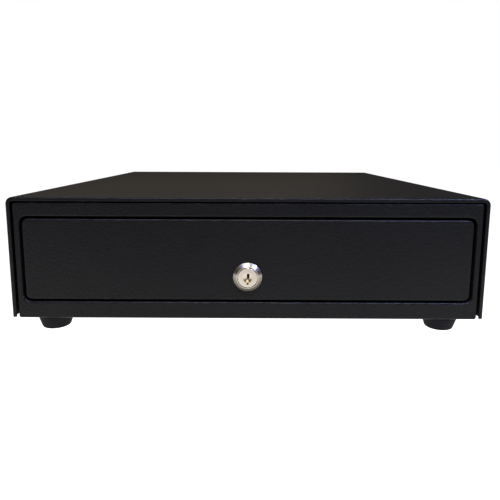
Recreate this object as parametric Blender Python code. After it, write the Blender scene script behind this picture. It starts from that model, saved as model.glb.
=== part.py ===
"""A steel cash drawer: case, sliding drawer on rollers, cam lock, till and electric release.

+X is to the right of someone who faces the drawer, the front faces -Y, and +Z is up. The origin
lies on the floor under the middle of the case. Sizes are in metres, written in millimetres.
"""

import math

import bmesh
import bpy
from mathutils import Matrix, Vector

MM = 0.001

# Fits
GAP = 0.3 * MM  # between pieces that touch on the real object
RUNNING_GAP = 0.25 * MM  # round a pin, per side
OVERLAP = 1 * MM  # of two shapes that are welded, and of a cutter beyond the wall it cuts
DEEP = 10 * MM  # how far a cutter runs on through an open side
LEAST_RADIUS = 0.5 * MM  # tightest inside corner of folded sheet

# Case
CASE_WIDTH = 410 * MM
CASE_DEPTH = 415 * MM
CASE_HEIGHT = 106.5 * MM
FOOT_HEIGHT = 13 * MM
SHEET = 1.2 * MM
COVER_RADIUS = 6 * MM
LIP_WIDTH = 3.5 * MM
LIP_ROUND = 0.8 * MM
REAR_FLANGE = 14 * MM
COVER_RISE = 1.2 * MM  # the cover's sides end this far above the case's underside
BASE_FLANGE = 14 * MM
REAR_PAN_DEPTH = 8 * MM

# Front frame and its window
FACE_RECESS = 1.0 * MM
FRAME_GAP = 1.4 * MM
FRAME_DEPTH = 16 * MM  # window flanges, which the lock's cam catches
FRAME_FLANGE = 10 * MM  # outer flanges
JAMB = 4.9 * MM
SILL = 15 * MM
HEADER = 11.8 * MM
BEND_RADIUS = 1.5 * MM
WINDOW_RADIUS = 6.5 * MM

# Drawer front
FASCIA_SIDE_GAP = 2.6 * MM
FASCIA_TOP_GAP = 1.95 * MM
FASCIA_RADIUS = 5 * MM
FASCIA_DEPTH = 12 * MM

# Drawer box
BOX_SHEET = 1.2 * MM
RAIL_SPACE = 12.2 * MM  # from the window's edge to the box's side
BOX_LIFT = 1.0 * MM  # box floor above the drawer front's lower edge
BOX_DROP = 10.5 * MM  # box's upper edge below the window's upper edge
LOCK_SPACE = 34 * MM  # from the drawer front's face to the box's inner front wall
REAR_SPACE = 67.5 * MM  # from the box's back to the case's back
WING_STEP = 4 * MM  # side walls in front of the box start this far above its floor
BOX_FLANGE = 12 * MM  # folded inwards behind the drawer front

# Rollers and rails
ROLLER_RADIUS = 8 * MM
ROLLER_WIDTH = 7 * MM
ROLLER_LIFT = 20 * MM  # roller's axis above the box's floor
PIN_RADIUS = 2.5 * MM
PIN_HEAD_RADIUS = 4 * MM
PIN_HEAD = 1 * MM
RAIL_SHEET = 1.2 * MM
RAIL_WEB = 26 * MM
FRONT_ROLLER_SETBACK = 27.5 * MM
REAR_ROLLER_SETBACK = 8 * MM
CASE_RAIL_REAR = 19.5 * MM  # from the case's back
CASE_RAIL_FRONT = 3 * MM  # behind the frame
EAR_HALF = 6.5 * MM  # from the case roller's axis to the ear's edges
GUIDE_CLEARANCE = 0.8 * MM  # above the drawer rail
GUIDE_RISE = 12 * MM
ROLLER_SPACE = 1.5 * MM  # beside a roller
ROLLER_EDGE = 0.6 * MM
ROLLER_HUB = 1 * MM  # hub's rim outside the pin's head
ROLLER_HUB_SLOPE = 0.5 * MM
DRAWER_RAIL_SPACE = 2 * MM  # behind the drawer front
DRAWER_RAIL_OVERHANG = 4 * MM  # behind the box

# Lock
LOCK_HEIGHT = 38.2 * MM  # axis above the case's underside
PLUG_RADIUS = 8.6 * MM
PLUG_GROOVE = 0.35 * MM
PLUG_HEAD = 3.4 * MM
PLUG_SHANK_RADIUS = 6 * MM
BEZEL_RIM = 1.0 * MM  # flat ring round the plug
BEZEL_CONE = 3.1 * MM
BEZEL_PROUD = 4.6 * MM
BEZEL_EDGE = 0.7 * MM  # upright edge on the drawer front
BEZEL_SHOULDER = (0.5 * MM, 1.5 * MM)  # inset and height of the round above that edge
BEZEL_CROWN = (0.6 * MM, 0.3 * MM)  # the same where the cone meets the flat ring
BARREL_WALL = 0.8 * MM
BARREL_BACK = 17.2 * MM  # barrel's rear end behind the drawer front's face
STUB_RADIUS = 3 * MM
STUB_END = 0.7 * MM  # behind the cam's nut
KEYWAY_WIDTH = 2.3 * MM
KEYWAY_HEIGHT = 9.6 * MM
KEYWAY_DEPTH = 13 * MM
KEYWAY_JOG = 0.5 * MM  # sideways step at mid height
KEYWAY_STEP = (0.4 * MM, 1 * MM)  # heights between which the step slopes
PLUG_EDGE = 0.3 * MM
DISH_RADIUS = 4.2 * MM
DISH_FLOOR_RADIUS = 3 * MM
DISH_DEPTH = 1 * MM
NUT_WALL = 3.6 * MM
NUT_THICKNESS = 3 * MM
CAM_LENGTH = 31 * MM
CAM_WIDTH = 13 * MM
CAM_THICKNESS = 2 * MM
CAM_NOSE = 4 * MM  # chamfer of the cam's end
CAM_TAPER = 1.5 * MM
CAM_NUT_RADIUS = 5.4 * MM
CAM_NUT_THICKNESS = 2.5 * MM

# Till
TILL_WALL = 2 * MM
TILL_DROP = 6 * MM  # till's rim below the box's upper edge
COIN_SECTION = 141 * MM
COIN_DROP = 4 * MM  # coin tray's rim below the till's
COIN_COLUMNS = 4
COIN_ROWS = 2
COIN_WALL = 2.4 * MM
CUP_ROUND = 16 * MM
BILL_COLUMNS = 5
DIVIDER = 2 * MM
DIVIDER_CLEARANCE = 1.5 * MM  # below the rod
DIVIDER_DIP = 12 * MM
DIVIDER_DIP_RUN = (25 * MM, 60 * MM)  # from the front, where the dip starts and ends to rise
ROD_RADIUS = 2 * MM
ROD_END = 0.5 * MM  # inside the till's outer face
ROD_DROP = 4 * MM  # rod's axis below the till's rim
ROD_SETBACK = 8 * MM  # rod's axis in front of the till's rear wall
CLIP_LENGTH = 95 * MM
CLIP_WIDTH = 22 * MM
CLIP_THICKNESS = 1.6 * MM
CLIP_EYE_RADIUS = 4.2 * MM
CLIP_REST = 1.5 * MM  # heel above the till's floor
CLIP_TOP = 1.8 * MM  # arm's upper face above a line through the rod
CLIP_HEEL = CLIP_LENGTH - 3 * MM  # where the arm touches the bills
CLIP_HEEL_LIFT = 0.6 * MM  # of the heel above the arm's straight underside
CLIP_HEEL_RISE = CLIP_TOP - CLIP_THICKNESS + CLIP_HEEL_LIFT
CLIP_BEND = 12 * MM  # from the tip, where the arm starts to curl up
CLIP_CURL = (4 * MM, 1 * MM)  # half way point of the curl, from the tip and above the arm
CLIP_TIP_RISE = 5 * MM
CLIP_EYE_OPEN = 25.0  # degrees that the eye stays open, on either side of the arm
CLIP_EYE_BLEND = 3 * MM  # from the eye to the arm's straight underside

# Feet
FOOT_TOP_RADIUS = 15.5 * MM
FOOT_BOTTOM_RADIUS = 12 * MM
FOOT_ROUND = 1.4 * MM
FOOT_INSET = 30 * MM  # from the case's side
FOOT_SETBACK = 20 * MM  # from the case's front and back
FOOT_BORE_RADIUS = 2.4 * MM
FOOT_RECESS_RADIUS = 5.4 * MM
FOOT_RECESS = 7 * MM
FOOT_SCREW_RADIUS = 2 * MM
FOOT_SCREW_HEAD_RADIUS = 4.6 * MM
FOOT_SCREW_HEAD = 2.4 * MM
FOOT_SCREW_EDGE = 0.8 * MM
FOOT_SCREW_END = 2 * MM  # above the base plate

# Screws of the rear panel
REAR_SCREW_RADIUS = 1.75 * MM
REAR_SCREW_LENGTH = 6 * MM
REAR_SCREW_HEAD_RADIUS = 3.6 * MM
REAR_SCREW_HEAD = 1.6 * MM
REAR_SCREW_DOME = 0.6 * MM  # height of the head's domed part
REAR_SCREW_CROWN = 0.9 * MM  # from the head's edge to its flat crown
REAR_SCREW_EDGE = 8 * MM  # from the case's sides
REAR_SCREW_LOW = 24 * MM  # above the case's underside
REAR_SCREW_HIGH = 22 * MM  # below the case's top

# Electric release
PIVOT_SETBACK = 38.5 * MM  # latch pin in front of the case's back
PIVOT_HEIGHT = 47 * MM  # latch pin above the case's underside
CROSSBAR_SETBACK = 11 * MM  # striker's bar behind the box's back
CROSSBAR_DROP = 2 * MM  # striker's bar below the latch pin
CROSSBAR_RADIUS = 2.5 * MM
CROSSBAR_INSET = 0.2 * MM  # bar's axis in front of the ears' round end
STRIKER_HALF = 8 * MM
STRIKER_EAR = 1.6 * MM
STRIKER_PLATE = 1.5 * MM
STRIKER_PLATE_HALF = 16 * MM
STRIKER_MARGIN = 1.5 * MM  # above and below the bar
LATCH_SWING = 22.0  # degrees from released to engaged
TAIL_ARM = 15 * MM
HUB_RADIUS = 4.5 * MM
HUB_END_GAP = 0.5 * MM  # between the hub and a cheek
LEVER_HALF = 2.5 * MM
LEVER_DEPTH = 4.5 * MM
LEVER_WAIST = 2.4 * MM  # lower edge of the lever below its pin
LEVER_NECK = 8 * MM  # in front of the pin, where the lever takes its full depth
LEVER_BACK = 7 * MM
TOOTH_GAP = 0.6 * MM  # between the tooth and the bar
TOOTH_THICKNESS = 4.4 * MM
TOOTH_DROP = 3 * MM  # tooth's end below the bar's axis
BAR_CLEARANCE = 1 * MM  # between the bar and the lever above it
FORK_HALF = 6 * MM
FORK_LENGTH = 4 * MM  # behind the plunger's axis
FORK_THICKNESS = 2 * MM
FORK_SLOT = 0.5 * MM  # beside the plunger's neck
FORK_SLOT_FRONT = 3.2 * MM  # in front of the plunger's axis
FINGER_X = (-12.4 * MM, -8.6 * MM)
FINGER_Y = (-6 * MM, -2.8 * MM)
FINGER_DROP = 12 * MM
LATCH_PIN_RADIUS = 2 * MM
CHEEK_HALF = 14 * MM  # from the middle to a cheek's inner face
CHEEK_RISE = 6 * MM  # above the latch pin
LATCH_PIN_HEAD = 1 * MM  # thickness of a head, and its rim round the shank
BRACKET_FRONT = 53.5 * MM  # from the case's back
BRACKET_REAR = 10 * MM
COIL_RADIUS = 11.5 * MM
COIL_WINDING_RADIUS = 10 * MM
YOKE_SHEET = 1.5 * MM
COIL_HEIGHT = 28 * MM
BOBBIN_FLANGE = 1.6 * MM
YOKE_MARGIN = 1 * MM  # of the yoke beyond the coil
PLUNGER_RADIUS = 4 * MM
PLUNGER_CLEARANCE = 0.5 * MM
PLUNGER_FOOT = 3 * MM  # plunger's lower end above the coil's
PLUNGER_CAP = 2 * MM
PLUNGER_EDGE = 0.5 * MM
NECK_RADIUS = 1.8 * MM
NECK_HALF = 3.3 * MM
SPRING_WIRE = 0.4 * MM
SPRING_TURNS = 3
SPRING_LENGTH = 4.2 * MM
SPRING_START_X = 3.6 * MM
SPRING_LEGS = (-9 * MM, 10 * MM)
EJECTOR_RADIUS = 6.5 * MM
EJECTOR_WIRE = 0.7 * MM
EJECTOR_TURNS = 8
EJECTOR_X = 70 * MM

# Switch under the latch
SWITCH_LENGTH = 13 * MM
SWITCH_TALL = 6 * MM
SWITCH_WIDTH = 5.8 * MM
SWITCH_FRONT = -14.5 * MM  # from the latch pin
SWITCH_DROP = 14.2 * MM  # switch's top below the latch pin
SWITCH_POST = 1.2 * MM  # thickness of the post that carries the leaf
SWITCH_POST_RISE = 0.7 * MM
LEAF_THICKNESS = 0.4 * MM
LEAF_LENGTH = 10.5 * MM
LEAF_WIDTH = 4 * MM
LEAF_REST = 12.0  # degrees above level while the latch is released
LEAF_SETBACK = 1.8 * MM  # leaf's axis behind the switch's front
LEAF_RISE = 1.4 * MM  # leaf's axis above the switch
LEAF_KNUCKLE = 0.6 * MM

# Data socket
SOCKET_X = -120 * MM
SOCKET_HEIGHT = 52 * MM  # above the case's underside
SOCKET_WIDTH = 14 * MM
SOCKET_TALL = 13 * MM
SOCKET_DEPTH = 15 * MM
SOCKET_HOLE_WIDTH = 10 * MM
SOCKET_HOLE_TALL = 7 * MM
SOCKET_HOLE_DEPTH = 10 * MM
SOCKET_PROUD = 1.2 * MM
SOCKET_SILL = 3.4 * MM  # mouth's lower edge above the socket's underside
SOCKET_NOTCH = 1.8 * MM  # latch notch below the mouth
LOOM_RADIUS = 1.8 * MM
LOOM_SETBACK = 28 * MM  # from the case's back
LOOM_SPACE = 4 * MM  # beside the latch bracket
LOOM_RISE = 9 * MM  # up to the coil
LOOM_TURN = 6 * MM

# Places that follow from the sizes above
FRONT_Y = -CASE_DEPTH / 2
BACK_Y = CASE_DEPTH / 2
BASE_Z = FOOT_HEIGHT
TOP_Z = BASE_Z + CASE_HEIGHT
SIDE_X = CASE_WIDTH / 2
FLOOR_Z = BASE_Z + SHEET  # upper face of the base plate
INNER_X = SIDE_X - SHEET
ROOF_Z = TOP_Z - SHEET

FACE_Y = FRONT_Y + FACE_RECESS
FRAME_BACK_Y = FACE_Y + FRAME_DEPTH
FLANGE_BACK_Y = FACE_Y + FRAME_FLANGE
FRAME_X = SIDE_X - LIP_WIDTH - FRAME_GAP
FRAME_TOP_Z = TOP_Z - LIP_WIDTH - FRAME_GAP
WINDOW_X = FRAME_X - JAMB
WINDOW_LOW_Z = BASE_Z + SILL
WINDOW_HIGH_Z = FRAME_TOP_Z - HEADER
FASCIA_X = WINDOW_X - FASCIA_SIDE_GAP
FASCIA_LOW_Z = WINDOW_LOW_Z + FASCIA_TOP_GAP
FASCIA_HIGH_Z = WINDOW_HIGH_Z - FASCIA_TOP_GAP

BOX_X = WINDOW_X - RAIL_SPACE
BOX_LOW_Z = FASCIA_LOW_Z + BOX_LIFT
BOX_HIGH_Z = WINDOW_HIGH_Z - BOX_DROP
BOX_FRONT_Y = FACE_Y + LOCK_SPACE
BOX_BACK_Y = BACK_Y - REAR_SPACE

ROLLER_Z = BOX_LOW_Z + ROLLER_LIFT
RAIL_X = BOX_X + GAP  # inner face of a drawer rail's web
ROLLER_X = RAIL_X + RAIL_SHEET + ROLLER_SPACE  # inner face of a roller
ROLLER_END_X = ROLLER_X + ROLLER_WIDTH
CASE_WEB_X = ROLLER_END_X + ROLLER_SPACE  # inner face of a case rail's web
FRONT_ROLLER_Y = FRONT_Y + FRONT_ROLLER_SETBACK
REAR_ROLLER_Y = BOX_BACK_Y - REAR_ROLLER_SETBACK

LOCK_Z = BASE_Z + LOCK_HEIGHT
BARREL_RADIUS = PLUG_RADIUS + BARREL_WALL
BEZEL_FLAT_RADIUS = PLUG_RADIUS + BEZEL_RIM
BEZEL_RADIUS = BEZEL_FLAT_RADIUS + BEZEL_CONE
NUT_RADIUS = BARREL_RADIUS + NUT_WALL
TILL_X = BOX_X - BOX_SHEET - GAP
TILL_FRONT_Y = BOX_FRONT_Y + BOX_SHEET + GAP
TILL_BACK_Y = BOX_BACK_Y - BOX_SHEET - GAP
TILL_LOW_Z = BOX_LOW_Z + BOX_SHEET + GAP
TILL_HIGH_Z = BOX_HIGH_Z - TILL_DROP
TILL_FLOOR_Z = TILL_LOW_Z + TILL_WALL
PARTITION_Y = TILL_FRONT_Y + COIN_SECTION
ROD_Y = TILL_BACK_Y - TILL_WALL - ROD_SETBACK
ROD_Z = TILL_HIGH_Z - ROD_DROP

PIVOT_Y = BACK_Y - PIVOT_SETBACK
PIVOT_Z = BASE_Z + PIVOT_HEIGHT
CROSSBAR_Y = BOX_BACK_Y + CROSSBAR_SETBACK
CROSSBAR_Z = PIVOT_Z - CROSSBAR_DROP
PLUNGER_Y = PIVOT_Y + TAIL_ARM
REAR_PLATE_Y = BACK_Y - SHEET - GAP  # outer face of the rear panel
SOCKET_Z = BASE_Z + SOCKET_HEIGHT

SIDES = (("left", -1), ("right", 1))

COLOURS = {
    "black_steel": ((0.010, 0.010, 0.012), 0.42, 0.0),
    "zinc_steel": ((0.60, 0.60, 0.58), 0.35, 1.0),
    "chrome": ((0.80, 0.78, 0.72), 0.15, 1.0),
    "brass": ((0.72, 0.53, 0.25), 0.3, 1.0),
    "rubber": ((0.016, 0.015, 0.016), 0.75, 0.0),
    "black_plastic": ((0.018, 0.018, 0.019), 0.5, 0.0),
    "white_nylon": ((0.75, 0.74, 0.70), 0.4, 0.0),
    "copper_coil": ((0.32, 0.07, 0.03), 0.4, 0.0),
    "spring_steel": ((0.45, 0.45, 0.45), 0.3, 1.0),
}


def clear_scene() -> None:
    """Remove every object of the scene."""
    for obj in list(bpy.data.objects):
        bpy.data.objects.remove(obj, do_unlink=True)


def material_of(node, finish):
    """A Principled material named after the node, with one of the finishes above."""
    colour, roughness, metallic = COLOURS[finish]
    material = bpy.data.materials.new(node)
    material.use_nodes = True
    shader = material.node_tree.nodes["Principled BSDF"]
    shader.inputs["Base Color"].default_value = (*colour, 1.0)
    shader.inputs["Roughness"].default_value = roughness
    shader.inputs["Metallic"].default_value = metallic
    material.diffuse_color = (*colour, 1.0)
    return material


def body(name, place=(0, 0, 0), parent=None):
    """An empty that carries the pieces of one moving body, on its joint's axis."""
    empty = bpy.data.objects.new(name, None)
    bpy.context.scene.collection.objects.link(empty)
    empty.location = Vector(place) - (parent["place"] if parent else Vector())
    if parent:
        empty.parent = parent["empty"]
    return {"empty": empty, "place": Vector(place)}


def piece(name, shape, finish, owner, place=(0, 0, 0), smooth=True):
    """One named object from a bmesh that is drawn about its own place."""
    bmesh.ops.recalc_face_normals(shape, faces=shape.faces)
    mesh = bpy.data.meshes.new(name)
    shape.to_mesh(mesh)
    shape.free()
    mesh.materials.append(material_of(name, finish))
    if smooth:
        mesh.shade_smooth()
        mesh.set_sharp_from_angle(angle=math.radians(35))
    obj = bpy.data.objects.new(name, mesh)
    bpy.context.scene.collection.objects.link(obj)
    obj.parent = owner["empty"]
    obj.location = Vector(place) - owner["place"]
    return obj


def copy_of(obj, name, owner, place, turn=0.0):
    """A second object with the same mesh, turned about Z."""
    twin = obj.copy()
    twin.name = name
    bpy.context.scene.collection.objects.link(twin)
    twin.parent = owner["empty"]
    twin.location = Vector(place) - owner["place"]
    twin.rotation_euler.z = turn
    return twin


def combine(obj, shape, operation, place=(0, 0, 0)):
    """Join a shape to the object or cut it away, in the object's parent frame."""
    bmesh.ops.recalc_face_normals(shape, faces=shape.faces)
    mesh = bpy.data.meshes.new(f"{obj.name}_{operation.lower()}")
    shape.to_mesh(mesh)
    shape.free()
    tool = bpy.data.objects.new(mesh.name, mesh)
    bpy.context.scene.collection.objects.link(tool)
    tool.parent = obj.parent
    tool.location = obj.location + Vector(place)
    tool.hide_render = True
    tool.display_type = "WIRE"
    modifier = obj.modifiers.new(tool.name, "BOOLEAN")
    modifier.operation = operation
    modifier.solver = "EXACT"
    modifier.object = tool


def cut(obj, shape, place=(0, 0, 0)):
    """Cut the shape from the object."""
    combine(obj, shape, "DIFFERENCE", place)


def join(obj, shape, place=(0, 0, 0)):
    """Weld the shape to the object."""
    combine(obj, shape, "UNION", place)


# How a flat outline's two coordinates and the run along the third axis become a point
ALONG = {
    "X": lambda a, b, run: (run, a, b),
    "Y": lambda a, b, run: (a, run, b),
    "Z": lambda a, b, run: (a, b, run),
}


def prism(outline, axis, start, end):
    """A flat outline extruded along an axis. The outline's coordinates are the other two axes."""
    shape = bmesh.new()
    corners = [shape.verts.new(ALONG[axis](a, b, start)) for a, b in outline]
    face = shape.faces.new(corners)
    grown = bmesh.ops.extrude_face_region(shape, geom=[face])
    moved = [item for item in grown["geom"] if isinstance(item, bmesh.types.BMVert)]
    bmesh.ops.translate(shape, verts=moved, vec=ALONG[axis](0, 0, end - start))
    return shape


def block(x, y, z):
    """A box between pairs of coordinates."""
    shape = bmesh.new()
    bmesh.ops.create_cube(shape, size=1.0)
    size = Vector((x[1] - x[0], y[1] - y[0], z[1] - z[0]))
    middle = Vector((x[0] + x[1], y[0] + y[1], z[0] + z[1])) / 2
    bmesh.ops.scale(shape, vec=size, verts=shape.verts)
    bmesh.ops.translate(shape, vec=middle, verts=shape.verts)
    return shape


def lathe(profile, axis, segments):
    """A closed profile of (radius, place along the axis) spun about the axis.

    Points on the axis itself are merged, so a solid piece starts and ends at radius 0.
    """
    shape = bmesh.new()
    across = {"X": (0, 1, 0), "Y": (0, 0, 1), "Z": (1, 0, 0)}[axis]
    along = {"X": (1, 0, 0), "Y": (0, 1, 0), "Z": (0, 0, 1)}[axis]
    points = [Vector(across) * r + Vector(along) * run for r, run in profile]
    verts = [shape.verts.new(point) for point in points]
    edges = [shape.edges.new(pair) for pair in zip(verts, verts[1:] + verts[:1])]
    on_axis = [edge for edge in edges if all(v.co.cross(Vector(along)).length < 1e-7 for v in edge.verts)]
    bmesh.ops.delete(shape, geom=on_axis, context="EDGES_FACES")
    bmesh.ops.spin(
        shape,
        geom=list(shape.verts) + list(shape.edges),
        cent=(0, 0, 0),
        axis=along,
        angle=math.tau,
        steps=segments,
        use_merge=True,
    )
    bmesh.ops.remove_doubles(shape, verts=shape.verts, dist=1e-6)
    return shape


def disc(radius, axis, start, end, segments=16):
    """A solid cylinder along an axis."""
    return lathe([(0, start), (radius, start), (radius, end), (0, end)], axis, segments)


def tube(radius, bore, axis, start, end, segments=16):
    """A cylinder with a bore."""
    profile = [(bore, start), (radius, start), (radius, end), (bore, end)]
    return lathe(profile, axis, segments)


def rounded_rectangle(x, z, radius, steps=4):
    """Corner points of a rectangle with round corners, between pairs of coordinates."""
    points = []
    corners = (
        (x[1], z[1], -1, -1, 0),
        (x[0], z[1], 1, -1, 90),
        (x[0], z[0], 1, 1, 180),
        (x[1], z[0], -1, 1, 270),
    )
    for corner_x, corner_z, to_x, to_z, first in corners:
        centre_x = corner_x + to_x * radius
        centre_z = corner_z + to_z * radius
        for step in range(steps + 1):
            angle = math.radians(first + 90 * step / steps)
            points.append((centre_x + radius * math.cos(angle), centre_z + radius * math.sin(angle)))
    return points


def loft(rows, ring_rows, ring_columns):
    """Faces through rows of points. Rows or columns that don't form a ring get flat ends."""
    shape = bmesh.new()
    grid = [[shape.verts.new(point) for point in row] for row in rows]
    wide = len(grid[0])
    for i in range(len(grid) - (not ring_rows)):
        low = grid[i]
        high = grid[(i + 1) % len(grid)]
        for j in range(wide - (not ring_columns)):
            k = (j + 1) % wide
            shape.faces.new((low[j], low[k], high[k], high[j]))
    if not ring_rows:
        shape.faces.new(grid[0])
        shape.faces.new(grid[-1])
    if not ring_columns:
        shape.faces.new([row[0] for row in grid])
        shape.faces.new([row[-1] for row in grid])
    return shape


def pan_row(x, z, inset, radius, y):
    """One ring of a folded pan: a round-cornered rectangle, inset all round, at one depth."""
    low_x, high_x = x[0] + inset, x[1] - inset
    low_z, high_z = z[0] + inset, z[1] - inset
    outline = rounded_rectangle((low_x, high_x), (low_z, high_z), radius)
    return [(a, y, b) for a, b in outline]


def bend(radius, y, towards, steps=3):
    """(inset, depth) pairs round a sheet's outer bend, from its flange to its face."""
    pairs = []
    for step in range(steps + 1):
        angle = math.pi / 2 * step / steps
        inset = radius * (1 - math.cos(angle))
        pairs.append((inset, y + towards * radius * (1 - math.sin(angle))))
    return pairs


def folded_pan(x, z, corner, face_y, towards, depth, sheet):
    """A pan of sheet with its flanges folded back all round."""
    outer = [(0, face_y + towards * depth)] + bend(BEND_RADIUS, face_y, towards)
    rows = [pan_row(x, z, inset, max(corner - inset, LEAST_RADIUS), y) for inset, y in outer]
    inner_radius = max(corner - sheet, LEAST_RADIUS)
    rows.insert(0, pan_row(x, z, sheet, inner_radius, face_y + towards * depth))
    rows.insert(0, pan_row(x, z, sheet, inner_radius, face_y + towards * sheet))
    return loft(rows, ring_rows=False, ring_columns=True)


def case_cover(case):
    """Folded cover: top and sides in one sheet, a narrow lip in front and a flange at the back."""
    def path(inset):
        radius = max(COVER_RADIUS - inset, LEAST_RADIUS)
        side = SIDE_X - inset
        top = TOP_Z - inset
        outline = rounded_rectangle((-side, side), (-TOP_Z, top), radius, steps=5)
        upper = [(a, b) for a, b in outline if b > BASE_Z]
        low = BASE_Z + COVER_RISE
        return [(side, low)] + upper + [(-side, low)]

    section = [(0, BACK_Y)] + bend(LIP_ROUND, FRONT_Y, 1)
    section += [
        (LIP_WIDTH, FRONT_Y),
        (LIP_WIDTH, FRONT_Y + SHEET),
        (SHEET, FRONT_Y + SHEET),
        (SHEET, BACK_Y - SHEET),
        (REAR_FLANGE, BACK_Y - SHEET),
        (REAR_FLANGE, BACK_Y),
    ]
    rows = [[(a, y, b) for a, b in path(inset)] for inset, y in section]
    cover = piece("case_cover", loft(rows, ring_rows=True, ring_columns=False), "black_steel", case)
    for x, z in rear_screw_places():
        hole = disc(REAR_SCREW_RADIUS + RUNNING_GAP, "Y", -2 * SHEET, 2 * SHEET, 12)
        cut(cover, hole, (x, BACK_Y, z))


def rear_screw_places():
    """Where the four screws go through the cover's rear flange."""
    return [
        (side * (SIDE_X - REAR_SCREW_EDGE), z)
        for side in (-1, 1)
        for z in (BASE_Z + REAR_SCREW_LOW, TOP_Z - REAR_SCREW_HIGH)
    ]


def rear_screws(case):
    """Four pan-head screws that hold the cover to the rear panel."""
    head_y = GAP + REAR_SCREW_HEAD
    profile = [
        (0, -REAR_SCREW_LENGTH),
        (REAR_SCREW_RADIUS, -REAR_SCREW_LENGTH),
        (REAR_SCREW_RADIUS, GAP),
        (REAR_SCREW_HEAD_RADIUS, GAP),
        (REAR_SCREW_HEAD_RADIUS, head_y - REAR_SCREW_DOME),
        (REAR_SCREW_HEAD_RADIUS - REAR_SCREW_CROWN, head_y),
        (0, head_y),
    ]
    first = None
    for number, (x, z) in enumerate(rear_screw_places(), 1):
        place = (x, BACK_Y, z)
        if first:
            copy_of(first, f"rear_screw_{number}", case, place)
        else:
            first = piece("rear_screw_1", lathe(profile, "Y", 12), "zinc_steel", case, place)


def base_plate(case):
    """Bottom sheet with its two sides turned up inside the cover."""
    outer = INNER_X - GAP
    inner = outer - SHEET
    outline = [
        (-outer, BASE_Z),
        (outer, BASE_Z),
        (outer, BASE_Z + BASE_FLANGE),
        (inner, BASE_Z + BASE_FLANGE),
        (inner, FLOOR_Z),
        (-inner, FLOOR_Z),
        (-inner, BASE_Z + BASE_FLANGE),
        (-outer, BASE_Z + BASE_FLANGE),
    ]
    shape = prism(outline, "Y", FLANGE_BACK_Y + GAP, BACK_Y - SHEET - GAP)
    plate = piece("base_plate", shape, "black_steel", case, smooth=False)
    for x, y in foot_places():
        hole = disc(FOOT_SCREW_RADIUS + RUNNING_GAP, "Z", -2 * SHEET, 3 * SHEET, 12)
        cut(plate, hole, (x, y, BASE_Z))


def foot_places():
    """Foot centres."""
    across = SIDE_X - FOOT_INSET
    return [(x, y) for y in (FRONT_Y + FOOT_SETBACK, BACK_Y - FOOT_SETBACK) for x in (-across, across)]


def feet(case):
    """Tapered rubber feet with a recessed screw in each."""
    top = FOOT_HEIGHT - GAP
    slope = FOOT_TOP_RADIUS - FOOT_BOTTOM_RADIUS
    profile = [
        (FOOT_BORE_RADIUS, top),
        (FOOT_TOP_RADIUS - FOOT_ROUND / 2, top),
        (FOOT_TOP_RADIUS, top - FOOT_ROUND / 2),
        (FOOT_TOP_RADIUS, top - FOOT_ROUND * 1.5),
        (FOOT_BOTTOM_RADIUS + slope * FOOT_ROUND / top, FOOT_ROUND),
        (FOOT_BOTTOM_RADIUS - FOOT_ROUND * 0.3, FOOT_ROUND * 0.3),
        (FOOT_BOTTOM_RADIUS - FOOT_ROUND, 0),
        (FOOT_RECESS_RADIUS, 0),
        (FOOT_RECESS_RADIUS, FOOT_RECESS),
        (FOOT_BORE_RADIUS, FOOT_RECESS),
    ]
    head_low = FOOT_RECESS - GAP - FOOT_SCREW_HEAD
    screw = [
        (0, head_low),
        (FOOT_SCREW_HEAD_RADIUS - FOOT_SCREW_EDGE, head_low),
        (FOOT_SCREW_HEAD_RADIUS, head_low + FOOT_SCREW_EDGE),
        (FOOT_SCREW_HEAD_RADIUS, FOOT_RECESS - GAP),
        (FOOT_SCREW_RADIUS, FOOT_RECESS - GAP),
        (FOOT_SCREW_RADIUS, FLOOR_Z + FOOT_SCREW_END),
        (0, FLOOR_Z + FOOT_SCREW_END),
    ]
    names = ("front_left", "front_right", "rear_left", "rear_right")
    foot = bolt = None
    for name, (x, y) in zip(names, foot_places()):
        if foot:
            copy_of(foot, f"foot_{name}", case, (x, y, 0))
            copy_of(bolt, f"foot_screw_{name}", case, (x, y, 0))
        else:
            foot = piece(f"foot_{name}", lathe(profile, "Z", 20), "rubber", case, (x, y, 0))
            bolt = piece(f"foot_screw_{name}", lathe(screw, "Z", 10), "zinc_steel", case, (x, y, 0))


def front_frame(case):
    """Folded frame: outer flanges, face, and flanges round the window, all folded back."""
    whole = ((-FRAME_X, FRAME_X), (BASE_Z, FRAME_TOP_Z))
    window = ((-WINDOW_X, WINDOW_X), (WINDOW_LOW_Z, WINDOW_HIGH_Z))
    corner = BEND_RADIUS + LEAST_RADIUS
    rows = [pan_row(*whole, SHEET, corner, FLANGE_BACK_Y)]
    for inset, y in [(0, FLANGE_BACK_Y)] + bend(BEND_RADIUS, FACE_Y, 1):
        rows.append(pan_row(*whole, inset, max(corner - inset, LEAST_RADIUS), y))
    for inset, y in reversed(bend(BEND_RADIUS, FACE_Y, 1)):
        rows.append(pan_row(*window, -inset, WINDOW_RADIUS + inset, y))
    rows.append(pan_row(*window, 0, WINDOW_RADIUS, FRAME_BACK_Y))
    rows.append(pan_row(*window, -SHEET, WINDOW_RADIUS + SHEET, FRAME_BACK_Y))
    rows.append(pan_row(*window, -SHEET, WINDOW_RADIUS + SHEET, FACE_Y + SHEET))
    rows.append(pan_row(*whole, SHEET, corner, FACE_Y + SHEET))
    piece("front_frame", loft(rows, ring_rows=True, ring_columns=True), "black_steel", case)


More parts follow.
